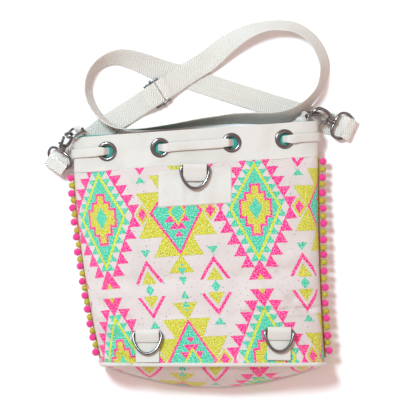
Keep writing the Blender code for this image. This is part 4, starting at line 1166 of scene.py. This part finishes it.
def makePatch():
    # a rectangle of canvas over the cloth, its edges turned down, with one row of stitches inside them
    u, v = np.meshgrid(np.linspace(0, 1, 90), np.linspace(0, 1, 48))
    edge = np.minimum(np.minimum(u, 1 - u) * patch["width"], np.minimum(v, 1 - v) * patch["height"])
    height = patch["lift"] + patch["thickness"] * np.clip(edge / 0.7, 0, 1) ** 0.5
    quilt = 0.16 * np.exp(-(((edge - patch["seam"]) / 0.7) ** 2))
    swell = 0.18 * softNoise(u * 84, v * 42, 9.0, 41) * np.clip(edge / 3, 0, 1)
    grid, normal = patchPlace(u, v, 0.0)
    grid = grid + normal * (height - quilt + swell)[..., None]
    dressed(gridPiece("backPatch", grid, canvasMaterial), "bag", ["back_patch"])
    across, down = patch["seam"] / patch["width"], patch["seam"] / patch["height"]
    corners = ((across, down), (1 - across, down), (1 - across, 1 - down), (across, 1 - down), (across, down))
    share = np.linspace(0, 1, 60)
    runs = []
    for (u0, v0), (u1, v1) in zip(corners, corners[1:]):
        line, up = patchPlace(mixed(u0, u1, share), mixed(v0, v1, share), patch["lift"] + patch["thickness"] - 0.1)
        runs.append(stitchRun(line, up, 2.7, 1.6, 0.22))
    sewn("patchStitches", runs, "canvas")


def ringOutline(innerWidth, depth, wireSize, square=1.0):
    # a D: the bar along X at the origin, the bow towards -Y as cos^square and sin^square, corners eased
    half = innerWidth / 2 + wireSize / 2
    turn = np.radians(np.linspace(-8, -172, 90))
    across = np.sign(np.cos(turn)) * np.abs(np.cos(turn)) ** square * half
    down = -depth * np.abs(np.sin(turn)) ** square
    bow = np.stack((across, down), 1)
    corner = wireSize * 0.35
    bar = np.stack((np.linspace(-half + corner, half - corner, 30), np.zeros(30)), 1)
    loop = np.vstack((bar, bow))
    for _ in range(4):
        loop = (np.roll(loop, 1, 0) + 2 * loop + np.roll(loop, -1, 0)) / 4
    return np.hstack((loop, np.zeros((len(loop), 1))))


def ringTabPath(length, wireSize, upper, under):
    # the centre line of a strip folded over the bar, its two legs down towards -Y: the upper one may be shorter
    reach = wireSize / 2 + 0.5 + tab["thickness"] / 2
    high = tab["thickness"] + gap - reach
    path = [(0, -down, -reach) for down in np.linspace(under, 8, 5)] + [(0, -3, -reach)]
    path += [(0, reach * math.cos(t), reach * math.sin(t)) for t in np.radians(np.linspace(-90, 90, 9))]
    path += [(0, -3, reach - 0.2), (0, -0.75 * upper, mixed(high, reach, 0.35)), (0, -upper, high)]
    return smoothed(path, 5)


def highest(x, along, length, point, normal):
    # how far the cloth under a tab stands above the plane that touches it at the bar
    places = np.meshgrid(np.linspace(-tab["width"] / 2, tab["width"] / 2, 7), np.linspace(-4, length, 9))
    x, along = x + places[0], along + places[1] / bag["length"]
    return float(((bodyPoints(backAngle(x, along), along, creased=1.0) - point) @ normal).max())


def makeRingTab(label, node, placing, length, high):
    # the folded strip with its stitches: a box at its end, or for a low tab two lines and a cross
    top = label == "top"
    upper, under = (length, length) if top else (12.0, length + 8.0)
    path = ringTabPath(length, ring["wire"], upper, under)
    shape = section(tab["width"], tab["thickness"] * 1.05, 40, 0.18, 0.45)
    points, faces = ribbon(path, np.tile((1.0, 0.0, 0.0), (len(path), 1)), shape)
    points[:, 2] += 0.12 * softNoise(points[:, 0], points[:, 1], 5.0, 51)
    piece = meshPiece(label + "RingTab", inFrame(placing, points), faces, [canvasMaterial])
    dressed(piece, "bag", [node + "_ring_tab"])
    half = tab["width"] / 2 - 2.2
    if top:
        height, near, far = high + tab["thickness"] / 2 + 0.02, 1.8 - length, 3.6 - length
        box = [(-half, near), (half, near), (half, far), (-half, far)]
    else:
        height, near, far = high - tab["thickness"] / 2 - gap + 0.05, -length, -13.4
        box = [(-half, near), (-half, far), (half, far), (half, near), (-half, far), (-half, near), (half, far)]
    line = np.array([(*place, height) for place in box])
    share = np.linspace(0, 1, 12)[:, None]
    ups = np.tile(placing[1][2], (12, 1))
    legs = [inFrame(placing, mixed(start, end, share)) for start, end in zip(line, line[1:])]
    sewn(label + "TabStitches", [stitchRun(leg, ups, 2.4, 1.5, 0.2) for leg in legs], "canvas")


def makeBackRings():
    # three tabs with their D rings: one at the band's seam, two above the base seam
    lift = ring["wire"] / 2 + 0.5 + tab["thickness"] + gap
    high = ring["wire"] / -2 - 0.5 + tab["thickness"] / 2 + gap
    low = 1 - tab["rise"] / bag["length"]
    outline = ringOutline(ring["inner"], ring["depth"], ring["wire"])
    wire, faces = tube(outline, ring["wire"] / 2, (0, 0, 1), closed=True, count=20)
    lean = math.radians(-ring["tilt"])
    tilt = np.array(((1, 0, 0), (0, math.cos(lean), math.sin(lean)), (0, -math.sin(lean), math.cos(lean))))
    places = (
        ("top", "top", patch["x"], bandShare + 0.006, tab["top"], patch["thickness"] + gap),
        ("lowerLeft", "lower_left", centreX(1.0) - tab["spacing"] / 2, low, tab["low"], -tab["sag"]),
        ("lowerRight", "lower_right", centreX(1.0) + tab["spacing"] / 2, low, tab["low"], 0.0),
    )
    for label, node, x, along, length, under in places:
        point, normal = surfaceFrame(x, along)
        placing = onFace(point + normal * (lift + under + highest(x, along, length, point, normal)), normal)
        makeRingTab(label, node, placing, length, high)
        piece = meshPiece(label + "DRing", inFrame(placing, wire @ tilt), faces, [nickelMaterial])
        dressed(piece, node + "_ring", [node + "_ring"])


def makeSeamStitches():
    # a fine row of stitches along the band's lower edge, on both faces
    x = np.linspace(-132, 132, 240) + centreX(bandShare)
    along = np.full(240, bandShare - 2.2 / bag["length"])
    back, front = surfaceFrame(x, along), surfaceFrame(x, along, True)
    back[0][:, 2] += rumple(back[0][:, 0], back[0][:, 1]) * np.sin(np.pi * along / bandShare) ** 0.6
    sewn("bandStitches", [stitchRun(*face, 2.4, 1.5, 0.2) for face in (back, front)], "canvas")


makePatch()
makeBackRings()
makeSeamStitches()
print("back fittings made")


# Pompom trims


trim = {
    "tape": 0.6,
    "inside": 2.6,
    "outside": 2.0,
    "ball": 8.2,
    "pitch": 8.7,
    "sink": 0.45,
    "fibres": 260,
    "low": 0.985,
    # how far the pink and the mustard pompoms stand out at the left and at the right
    "stagger": {-1: (-1.4, -2.9), 1: (-0.2, -0.4)},
    "sizes": (1.06, 0.92),
}


def ballShape():
    # a cube's six faces as grids of 12 by 12 quads, their points pushed out to length 1
    steps = np.tan(np.linspace(-1, 1, 13) * np.pi / 4)
    u, v = np.meshgrid(steps, steps, indexing="ij")
    one = np.ones_like(u)
    sixFaces = ((u, v, one), (v, u, -one), (one, u, v), (-one, v, u), (v, one, u), (u, -one, v))
    return joined([(unit(np.stack(axes, -1)).reshape(-1, 3), gridFaces(13, 13)) for axes in sixFaces])


def fibreBall(centre, radius, seed):
    # a lumpy core, and thin three-sided yarn ends standing out of it in random directions
    random = np.random.default_rng(seed)
    core, faces = ballShape()
    lump = softNoise(core[:, 0] * 3 + seed, core[:, 1] * 3 + core[:, 2] * 2.1, 0.8, seed)
    spread = core * (radius * (0.9 + 0.045 * lump))[:, None]
    count = trim["fibres"]
    way = unit(random.normal(size=(count, 3)))
    aside = squared(random.normal(size=(count, 3)), way)
    other = np.cross(way, aside)
    turn = np.array((0, 2 * np.pi / 3, 4 * np.pi / 3))[None, :, None]
    girth = random.uniform(0.16, 0.3, count)[:, None, None]
    ring = (aside[:, None] * np.cos(turn) + other[:, None] * np.sin(turn)) * girth
    reach = radius * random.uniform(0.98, 1.1, count)[:, None]
    tip = way * reach + aside * random.uniform(-0.5, 0.5, (count, 1))
    root = way[:, None] * radius * 0.82 + ring
    body = way[:, None] * radius * 0.94 + ring * 0.9
    end = tip[:, None] + ring * 0.25
    grid = np.stack((root, body, end), 1)
    quads = (gridFaces(3, 3, wrapColumns=True)[None] + np.arange(count)[:, None, None] * 9).reshape(-1, 4)
    points, allFaces = joined(((spread, faces), (grid.reshape(-1, 3), quads)))
    return points + centre, allFaces


def makeTrims():
    # a tape in each side seam with pink and mustard pompoms by turns along its outer edge
    radius, start = trim["ball"] / 2, bandShare + 0.005
    width = trim["outside"] + trim["inside"]
    along = np.linspace(start, trim["low"], 120)
    count = int(bag["length"] * (trim["low"] - bandShare - 0.005) / trim["pitch"])
    for label, side, seed in (("left", -1, 100), ("right", 1, 200)):
        angle = np.pi if side < 0 else 0.0
        middle = bodyPoints(angle, along) + (side * (trim["outside"] - trim["inside"]) / 2, 0, 0)
        parts = [ribbon(middle, np.tile((1.0, 0.0, 0.0), (120, 1)), section(width, trim["tape"], 12, 0.3, 0.5))]
        slots = [np.zeros(len(parts[0][1]), int)]
        random = np.random.default_rng(seed)
        for number in range(count):
            station = start + (number + 0.5) * trim["pitch"] / bag["length"]
            stagger = trim["stagger"][side][number % 2] + random.uniform(-0.6, 0.6)
            out = side * (trim["outside"] + radius - trim["sink"] + stagger)
            centre = bodyPoints(angle, station) + (out, random.uniform(-0.9, 0.9), random.uniform(-1.0, 1.0))
            size = trim["sizes"][number % 2] * random.uniform(0.95, 1.04)
            parts.append(fibreBall(centre, radius * size, seed + number))
            slots.append(np.full(len(parts[-1][1]), 1 + number % 2))
        points, faces = joined(parts)
        materials = [tapeMaterial, pinkYarn, mustardYarn]
        piece = meshPiece(label + "PompomTrim", points, faces, materials, slots=np.concatenate(slots))
        dressed(piece, "bag", ["pompom_trim_" + label])


makeTrims()
print("trims made")


# Side tabs, rings and hooks


sideRing = {"inner": 17.0, "depth": 18.0, "wire": 3.0, "tabWidth": 13.0}
hook = {
    "wire": 3.2,
    "eyeDepth": 17.0,
    "barrel": 6.4,
    "barrelRadius": 3.4,
    "post": 1.5,
    "length": 47.0,
    "rise": 7.2,
    "claw": 3.6,
    "gate": 3.2,
    "gateDepth": 2.4,
    "pin": 0.8,
}
webbingWidth = 25.0
sideSettings = {
    "left": {
        "root": (15.5, -6.7, 1.5),
        "across": (0.98, 0.0, 0.2),
        "bar": (6.0, 10.3, 5.0),
        "leg": (-0.40, 0.80, 0.45),
        "ring": (-0.70, -0.55, 0.45),
        "hook": (-0.3073, -0.7398, -0.5986),
        "beyond": 8.37,
        "fold": (-0.616, 0.788, 0.0),
        "turn": 1,
    },
    "right": {
        "root": (-23.0, -9.3, -0.2),
        "across": (0.99, 0.0, 0.1),
        "bar": (-14.0, 7.2, 5.0),
        "leg": (0.25, 0.95, 0.18),
        "ring": (0.93, 0.05, -0.20),
        "hook": (0.8374, -0.4615, -0.293),
        "beyond": 10.07,
        "fold": (0.305, 0.952, 0.0),
        "turn": -1,
    },
}


def mouthCorner(side):
    return bodyPoints(np.pi if side == "left" else 0.0, 0.0)


def sidePlaces(side):
    # a side's tab root, the middle of its ring's bar, the caught wire and the middle of the strap eye's bar
    setting = sideSettings[side]
    corner = mouthCorner(side)
    bar = corner + setting["bar"]
    catch = bar + unit(setting["ring"]) * sideRing["depth"]
    return corner + setting["root"], bar, catch, catch + unit(setting["hook"]) * (hook["length"] - setting["beyond"])


def sideFrames(side):
    # frames of a side's ring, claw and strap eye, and the directions of the two bars
    setting = sideSettings[side]
    root, bar, catch, eye = sidePlaces(side)
    toRing = unit(catch - bar)
    wireAxis = unit(np.cross(toRing, setting["leg"]))
    axis = unit(catch - eye)
    rise = unit(np.cross(setting["turn"] * wireAxis, axis))
    axis = unit(catch - rise * sideRing["wire"] / 2 - eye)
    foldAxis = squared(setting["fold"], axis)
    claw = placed(eye, axis, squared(rise, axis))
    return placed(bar, wireAxis, -toRing), claw, placed(eye, axis, foldAxis), foldAxis, wireAxis


def alongX(points):
    # a turned shape laid along local X: its height becomes X
    points = np.asarray(points, float)
    return np.stack((points[:, 2], points[:, 1], -points[:, 0]), 1)


def clawParts():
    # barrel with its bore, a nose that bends forward and thins to its tip, and the gate's lug
    start = hook["eyeDepth"] + 2.9
    end = start + hook["barrel"]
    r = hook["barrelRadius"]
    bore = hook["post"] + 0.3
    barrel = [(r - 0.5, end), (r, end - 0.5), (r - 0.25, end - 1.6), (r - 0.25, start + 1.6)]
    barrel += [(r, start + 0.5), (r - 0.5, start), (bore, start), (bore, end)]
    points, faces = turned(barrel, 32)
    parts = [(alongX(points), faces)]
    nose = (
        (end - 2.6, r - 0.4, 0),
        (end - 0.6, r + 1.4, 0),
        (end + 2.2, hook["rise"] - 1.0, 0),
        (end + 6.0, hook["rise"], 0),
        (hook["length"] - 7.5, hook["rise"] - 0.2, 0),
        (hook["length"] - 3.6, hook["rise"] - 2.6, 0),
        (hook["length"] - 1.8, 0.4, 0),
        (hook["length"] - 2.6, -3.4, 0),
        (hook["length"] - 3.4, -5.0, 0),
    )
    line = smoothed(nose, 8)
    share = np.linspace(0, 1, len(line))
    radii = hook["claw"] / 2 * (1.12 - 0.1 * share - 0.3 * np.clip((share - 0.86) / 0.14, 0, 1) ** 2)
    parts.append(tube(line, radii, (0, 0, 1), count=18))
    x, y = gatePivot
    lug, faces = turned([(0.9, -1.0), (2.3, -1.0), (2.3, 1.0), (0.9, 1.0)], 24)
    parts.append((lug + (x, y, 0), faces))
    return joined(parts)


gatePivot = (hook["eyeDepth"] + 2.9 + hook["barrel"] + 0.2, -hook["barrelRadius"] - 1.5)


def roundBar(start, end, width, depth, edge=0.35):
    # a bar with rounded edges between two points, its section width by depth
    points = mixed(np.array(start, float), np.array(end, float), np.linspace(0, 1, 9)[:, None])
    return ribbon(points, np.tile((0.0, 0.0, 1.0), (9, 1)), section(width, depth, 24, edge, edge))


def gateParts():
    # a lever forked over the lug, its pin, and a ridged thumb knob
    x, y = gatePivot
    tip = hook["length"] - 6.2
    half = hook["gate"] / 2
    parts = [roundBar((x + 2.9, y, 0), (tip, y, 0), hook["gate"], hook["gateDepth"])]
    for side in (-1, 1):
        cheek = side * (half + 1.35) / 2
        parts.append(roundBar((x - 1.3, y, cheek), (x + 3.6, y, cheek), half - 1.35, hook["gateDepth"]))
    end = half + 0.05
    pin, faces = turned([(0.05, -end), (hook["pin"], -end), (hook["pin"], end), (0.05, end)], 20)
    parts.append((pin + (x, y, 0), faces))
    profile = [(0.05, 0.6), (1.3, 0.6), (1.05, -1.2), (1.05, -2.6), (1.5, -3.3), (1.6, -3.8), (1.3, -4.3), (0.05, -4.4)]
    knob, faces = turned(profile[::-1], 24, closed=False)
    knob = np.stack((knob[:, 0], knob[:, 2], knob[:, 1]), 1)
    parts.append((knob + (x + 5.5, y, 0), faces[:, ::-1]))
    return joined(parts)


def eyeParts():
    # a squared D of wire, its collar and the post that turns in the claw's barrel
    start = hook["eyeDepth"] + 2.6
    end = hook["eyeDepth"] + 2.9 + hook["barrel"] + 0.3
    depth = hook["eyeDepth"]
    post = hook["post"]
    profile = [(0.05, end + 1.0), (1.6, end + 0.95), (2.1, end + 0.6), (2.1, end), (post, end), (post, start)]
    profile += [(2.7, start), (3.1, start - 0.5), (3.1, depth - 0.8), (2.5, depth - 1.4), (0.05, depth - 1.4)]
    points, faces = turned(profile, 28, closed=False)
    parts = [(alongX(points), faces)]
    outline = ringOutline(webbingWidth + 3.4, depth, hook["wire"], 0.55)
    bow = np.stack((-outline[:, 1], outline[:, 0], outline[:, 2]), 1)
    parts.append(tube(bow, hook["wire"] / 2, (0, 0, 1), closed=True, count=18))
    return joined(parts)


def makeSideTab(side, wireAxis):
    # a folded strip: Hermite curve from the mouth to the bar, round it and back, its width turning on the way
    setting = sideSettings[side]
    root, bar = sidePlaces(side)[:2]
    across, leg = np.array(setting["across"]), np.array(setting["leg"])
    wireAxis = wireAxis if np.dot(wireAxis, across) > 0 else -wireAxis
    leg = squared(leg, wireAxis)
    reach = sideRing["wire"] / 2 + 0.5 + tab["thickness"] / 2
    end, start = bar - leg * 2.0, np.array((0.0, 1.0, 0.0))
    bend = np.linalg.norm(end - root)
    near = (tab["thickness"] + 0.5) / 2
    upper, lower = [], []
    for t in np.linspace(0, 1, 14):
        spot = (2 * t**3 - 3 * t**2 + 1) * root + (t**3 - 2 * t**2 + t) * bend * start
        spot = spot + (3 * t**2 - 2 * t**3) * end + (t**3 - t**2) * bend * leg
        width = unit(mixed(unit(across), wireAxis, t**2.8))
        lift = np.cross(width, squared(mixed(start, leg, t), width))
        part = mixed(near, reach, t**2)
        upper.append((*(spot + lift * part), *width))
        lower.append((*(spot - lift * part), *width))
    lift = np.cross(wireAxis, leg)
    bow = [
        (*(bar + reach * (leg * math.cos(t) + lift * math.sin(t))), *wireAxis)
        for t in np.radians(np.linspace(-80, 80, 11))
    ]
    rows = np.array(lower + bow + upper[::-1])
    shape = section(sideRing["tabWidth"], tab["thickness"], 32, 0.2, 0.45)
    points, faces = ribbon(rows[:, :3], rows[:, 3:], shape)
    piece = meshPiece(side + "SideTab", points, faces, [canvasMaterial])
    dressed(piece, "bag", [side + "_side_tab"])


def makeSides():
    # rings, claws, gates and eyes, each in its own frame and on its own body
    outline = ringOutline(sideRing["inner"], sideRing["depth"], sideRing["wire"])
    for side in sideSettings:
        ringPlace, clawPlace, eyePlace, _, wireAxis = sideFrames(side)
        shapes = (
            ("SideDRing", "_side_ring", tube(outline, sideRing["wire"] / 2, (0, 0, 1), closed=True), ringPlace),
            ("HookClaw", "_hook_claw", clawParts(), clawPlace),
            ("HookGate", "_hook_gate", gateParts(), clawPlace),
            ("HookEye", "_hook_eye", eyeParts(), eyePlace),
        )
        for word, node, (points, faces), placing in shapes:
            piece = meshPiece(side + word, inFrame(placing, points), faces, [nickelMaterial])
            dressed(piece, side + node, [side + node])
        makeSideTab(side, wireAxis)


makeSides()
print("side fittings made")


# Slider and strap


slider = {"place": (-44.6, 41.7, 5.7), "heading": (-0.84, -0.543, 0.0), "bar": 2.2, "spacing": 8.4, "rail": 2.4}
webbing = {
    "thickness": 1.8,
    "sides": 30,
    "pitch": 0.75,
    "scallop": 0.35,
    "scallopPitch": 3.0,
    # pitch, length and radius of the seam's stitches
    "stitch": (1.7, 1.2, 0.26),
    "seamHalf": 9.5,
    "hookSeams": (13.0, 16.5),
}
# stations of the strap's loops: x, y, lowest edge and lean about the line
strapRun = (
    (-27.4, 52.7, 3.8, 0),
    (-6.7, 66.5, 3.0, 0),
    (14.0, 79.7, 2.4, -8),
    (38.1, 99.8, 1.0, -30),
    (60.0, 112.5, 0.3, -50),
    (80.7, 118.8, 0.3, -61),
    (98.5, 119.9, 0.3, -61),
    (115.2, 117.1, 0.3, -61),
    (129.6, 108.4, 0.3, -62),
    (140.5, 95.8, 0.3, -62),
    (147.1, 79.7, 0.3, -62),
    (148.0, 65.9, 0.3, -66),
    (142.6, 47.5, 0.6, -72),
    (132.3, 33.7, 2.6, -70),
    (120.5, 23.3, 2.9, -62),
    (105.5, 15.9, 2.6, -58),
    (88.0, 13.1, 1.2, -59),
    (68.0, 13.1, 0.3, -61),
    (45.0, 12.9, 0.3, -64),
    (24.0, 10.7, 0.3, -68),
    (2.0, 8.1, 0.3, -72),
    (-22.0, 4.7, 0.4, -78),
    (-46.0, 1.9, 1.2, -84),
    (-69.0, -0.1, 3.6, -88),
    (-86.0, 0.9, 4.6, -92),
    (-99.0, 5.9, 4.6, -98),
    (-109.5, 14.3, 4.4, -104),
    (-118.0, 26.5, 1.6, -107),
    (-123.4, 40.6, 0.3, -108),
    (-123.2, 54.9, 0.3, -109),
    (-117.1, 68.8, 0.3, -113),
    (-104.4, 79.1, 0.3, -122),
    (-87.2, 83.3, 0.3, -137),
    (-66.5, 78.3, 0.2, -156),
    (-41.2, 68.8, 0.1, -178),
    (-14.7, 61.3, 0.1, -180),
    (14.0, 51.5, 0.1, -180),
    (70.3, 33.7, 0.1, -180),
    (119.8, 18.4, 0.1, -180),
    (144.0, 10.1, 0.1, -180),
)


def mouthMiddle():
    return (mouthCorner("left") + mouthCorner("right")) / 2 * (1, 1, 0)


def onSlider(along, height):
    # a strap point given along the slider's own direction, towards the left hook, and by height
    place = (mouthMiddle() + slider["place"]) * (1, 1, 0)
    return place + unit(slider["heading"]) * along + np.array((0, 0, height))


def foldStations(side, heading, beyond, arrive):
    # stations of the webbing round an eye's bar: in over or under it, round, and out the other way
    foldAxis = sideFrames(side)[3]
    bar = sidePlaces(side)[3]
    out = squared(heading, foldAxis)
    up = np.cross(out, foldAxis)
    up = up if up[2] > 0 else -up
    reach = hook["wire"] / 2 + 0.5 + webbing["thickness"] / 2
    steps = (
        (-5, 1.0),
        (0, 1.0),
        (beyond - reach * 0.7, 0.8),
        (beyond, 0.35),
        (beyond, -0.35),
        (beyond - reach * 0.7, -0.8),
        (0, -1.0),
        (-5, -1.0),
    )
    return [bar + out * along + up * arrive * reach * share for along, share in steps], foldAxis


def strapStations():
    # sewn round the slider's bar, through the left hook, back through the slider, two loops, the right hook
    low = webbing["thickness"] / 2 + 0.1
    high = low + webbing["thickness"] + gap
    bar = slider["bar"] / 2 + gap + webbing["thickness"] / 2
    mid = slider["place"][2]
    over = mid + bar
    double = over + webbing["thickness"] + gap
    under = mid - bar
    level = unit(np.cross((0, 0, 1), slider["heading"]))
    stations = []

    def put(point, side):
        stations.append((np.asarray(point, float), np.asarray(side, float)))

    spacing = slider["spacing"]
    sewn = (
        (14.5, over - 0.9),
        (spacing, over),
        (6.4, over - 0.1),
        (4.4, over - 1.9),
        (2.6, under + 0.9),
        (0.6, under),
        (-1.4, under + 0.25),
        (-bar - 0.35, mid - 0.9),
        (-bar - 0.35, mid + 0.9),
        (-1.4, over - 0.25),
        (0.6, over),
        (4.0, mixed(over, double, 0.6)),
        (6.4, double),
        (spacing, double),
        (14.5, double - 0.8),
        (22.0, high + 2.2),
        (30.0, high + 0.4),
        (46.0, high),
        (70.0, high),
    )
    for along, height in sewn:
        put(onSlider(along, height), level)
    leftEye = sidePlaces("left")[3]
    leftHeading = unit(leftEye - onSlider(70.0, 0)) * (1, 1, 0)
    fold, foldAxis = foldStations("left", leftHeading, 10.0, 1)
    toward = -foldAxis if np.dot(foldAxis, level) < 0 else foldAxis
    nearHook = mixed(onSlider(70.0, high), leftEye, 0.62) * (1, 1, 0)
    put(nearHook + np.array((0, 0, high + 2.2)), unit(level + toward * 0.5))
    for point in fold:
        put(point, toward)
    put(nearHook + np.array((0, 0, low + 1.2)), unit(level + toward * 0.5))
    back = (
        (70.0, low),
        (46.0, low),
        (30.0, low),
        (14.0, low),
        (6.0, low),
        (0.0, low),
        (-3.4, low + 0.2),
        (-5.0, low + 1.8),
        (-5.1, mid - 0.6),
        (-5.3, over - 0.9),
        (-6.6, over),
        (-spacing, over + 0.1),
        (-13.0, over - 0.5),
    )
    for along, height in back:
        put(onSlider(along, height), level)
    count = len(stations)
    run = np.array([station[:2] for station in strapRun]) + mouthMiddle()[:2]
    previous = None
    for (x, y), (*_, lowest, lean), direction in zip(run, strapRun, np.gradient(run, axis=0)):
        tangent = unit((*direction, 0.0))
        turn = math.radians(lean)
        side = math.cos(turn) * np.cross((0, 0, 1), tangent) + math.sin(turn) * np.array((0, 0, 1.0))
        height = lowest + abs(math.sin(turn)) * webbingWidth / 2 + abs(math.cos(turn)) * webbing["thickness"] / 2
        put((x, y, height), side)
        previous = side
    rightEye = sidePlaces("right")[3]
    rightHeading = unit(rightEye - np.array((*run[-1], 0))) * (1, 1, 0)
    fold, foldAxis = foldStations("right", rightHeading, 6.5, -1)
    toward = foldAxis if np.dot(foldAxis, previous) > 0 else -foldAxis
    for point in fold:
        put(point, toward)
    heading = unit(rightHeading)
    put(rightEye * (1, 1, 0) - heading * 12 + np.array((0, 0, high + 1.8)), toward)
    put(rightEye * (1, 1, 0) - heading * 18 + np.array((0, 0, high + 1.0)), toward)
    points = np.array([station[0] for station in stations])
    widths = np.array([station[1] for station in stations])
    for index in range(1, len(widths)):
        if index < count and np.dot(widths[index - 1], widths[index]) < 0:
            widths[index] = -widths[index]
    if np.dot(widths[count - 1], widths[count]) < 0:
        widths[:count] = -widths[:count]
    return points, widths


def lowered(points):
    # the points put down to height 0
    return points * (1, 1, 0)


def seamRun(leg):
    # stitches along a line that lies flat
    return stitchRun(leg, np.tile((0, 0, 1.0), (len(leg), 1)), *webbing["stitch"])


def strapSeams():
    # the box at the slider, with a line through its middle, and two lines at the right hook
    half, thickness = webbing["seamHalf"], webbing["thickness"]
    across = unit(np.cross((0, 0, 1), slider["heading"]))
    top = slider["place"][2] + slider["bar"] / 2 + 2 * (gap + thickness) + 0.05
    near, far = onSlider(9.5, top), onSlider(15.5, top - 0.75)
    runs = [seamRun(mixed(near, far, np.linspace(0, 1, 8)[:, None]) + across * side * half) for side in (-1, 1)]
    for spot in (near, far, mixed(near, far, 0.5)):
        runs.append(seamRun(spot + across * np.linspace(-half, half, 12)[:, None]))
    rightEye = lowered(sidePlaces("right")[3])
    heading = unit(rightEye - (*(strapRun[-1][:2] + mouthMiddle()[:2]), 0))
    across = np.cross((0, 0, 1), heading)
    high = 2 * thickness + gap + 0.1
    for back in webbing["hookSeams"]:
        height = mixed(high + 2.05, high + 1.25, (back - 12) / 6)
        spot = rightEye - heading * back + (0, 0, height)
        runs.append(seamRun(spot + across * np.linspace(-10, 10, 12)[:, None]))
    return runs


def makeStrap():
    # the stations smoothed and spaced evenly; the edges swell and shrink by turns with the weft
    points, widths = strapStations()
    widths = squared(widths, unit(np.gradient(points, axis=0)))
    rows = spaced(smoothed(np.hstack((points, widths)), 6), webbing["pitch"])
    places = arcLengths(rows[:, :3])
    beat = 1 + webbing["scallop"] / 12.5 * np.cos(2 * np.pi * places / webbing["scallopPitch"])
    shape = section(webbingWidth, webbing["thickness"], webbing["sides"], 0.3, 0.55)
    grid, faces = ribbon(rows[:, :3], rows[:, 3:], shape, beat)
    run = np.concatenate(([0.0], places, places[-1:]))
    uvs = np.stack(np.broadcast_arrays(shape[None, :, 0], run[:, None]), -1)
    piece = meshPiece("webbingStrap", grid, faces, [webbingCotton], uvs.reshape(-1, 2))
    dressed(piece, "bag", ["shoulder_strap"])
    stitches = sewn("strapStitches", strapSeams(), "cotton_webbing")


def makeSlider():
    # two end bars, a middle bar and two rails of rounded section, with the middle bar's round ends
    spacing, bar, rail = slider["spacing"], slider["bar"], slider["rail"]
    outer = spacing + bar * 0.6
    inner = webbingWidth / 2 + 0.6
    edge = inner + rail
    middle = (outer + spacing - bar / 2) / 2
    share = np.linspace(-1, 1, 9)[:, None]
    parts = []
    for x, width in ((-middle, outer - spacing + bar / 2), (0.0, bar), (middle, outer - spacing + bar / 2)):
        line = (x, 0, 0) + share * (0, inner + 0.6, 0)
        parts.append(ribbon(line, np.tile((1.0, 0, 0), (9, 1)), section(width, bar, 24, 0.5, 0.5)))
    share = np.linspace(-1, 1, 21)
    taper = 1 - 0.5 * np.clip((np.abs(share) - 0.85) / 0.15, 0, 1) ** 2
    profile = [(0.05, 0.0), (1.5, 0.0), (1.6, 1.6), (1.45, 2.4), (1.0, 2.8), (0.05, 2.85)]
    knob, knobFaces = turned(profile, 24, closed=False)
    for side in (-1, 1):
        line = (0, side * (inner + edge) / 2, 0) + share[:, None] * (outer, 0, 0)
        parts.append(ribbon(line, np.tile((0, 1.0, 0), (21, 1)), section(rail, bar, 24, 0.4, 0.4), taper))
        parts.append((np.stack((knob[:, 0], side * (knob[:, 2] + edge - 1.2), knob[:, 1] * side), 1), knobFaces))
    points, faces = joined(parts)
    heading = slider["heading"]
    placing = placed(mouthMiddle() + slider["place"], heading, np.cross((0, 0, 1), heading))
    piece = meshPiece("strapSlider", inFrame(placing, points), faces, [nickelMaterial])
    dressed(piece, "strap_slider", ["strap_slider"])


makeStrap()
makeSlider()
print("strap made")


# Floor and light


studio = {
    "floor": linear(252, 251, 252),
    "world": (0.65, 0.465, 0.415),
    "key": {"place": (-0.85, 0.95, 2.2), "size": 0.5, "power": 60.0, "colour": (0.68, 0.92, 1.0)},
    "fill": {"place": (1.3, -0.9, 1.7), "size": 1.6, "power": 6.0, "colour": (1.0, 0.9, 0.86)},
}


def makeStudio():
    # a pale floor, a soft key light from the upper left, a weak fill, and a warm world that the camera sees white
    mesh = bpy.data.meshes.new("floor")
    mesh.from_pydata([(-6, -6, -0.0004), (6, -6, -0.0004), (6, 6, -0.0004), (-6, 6, -0.0004)], [], [(0, 1, 2, 3)])
    made, tree, shader = newMaterial("paleFloor", 0.75)
    place = coordinates(tree, "Object")
    tone = ranged(tree, noiseOf(tree, place, 3.0, 2.0), 0.3, 0.7, 0.0, 0.25)
    tree.links.new(blended(tree, tone, studio["floor"], linear(249, 247, 250)), shader.inputs["Base Color"])
    mesh.materials.append(made)
    linkedObject("floor", mesh)
    middle = toWorld((0, -20, 20))
    for name in ("key", "fill"):
        setting = studio[name]
        light = bpy.data.lights.new(name, "AREA")
        light.shape = "SQUARE"
        light.size = setting["size"]
        light.energy = setting["power"]
        light.color = setting["colour"]
        holder = linkedObject(name, light)
        holder.location = setting["place"]
        direction = np.array(middle) - np.array(setting["place"])
        turn = math.atan2(direction[1], direction[0])
        tilt = math.atan2(math.hypot(direction[0], direction[1]), -direction[2])
        holder.rotation_euler = (tilt, 0.0, turn - math.pi / 2)
    world = bpy.data.worlds.new("studioWorld")
    world.use_nodes = True
    tree = world.node_tree
    seen = tree.nodes.new("ShaderNodeLightPath").outputs["Is Camera Ray"]
    shown = blended(tree, seen, (*studio["world"], 1.0), (1.0, 1.0, 1.0, 1.0))
    tree.links.new(shown, tree.nodes["Background"].inputs["Color"])
    bpy.context.scene.world = world
    bpy.context.scene.view_settings.view_transform = "Standard"


makeStudio()
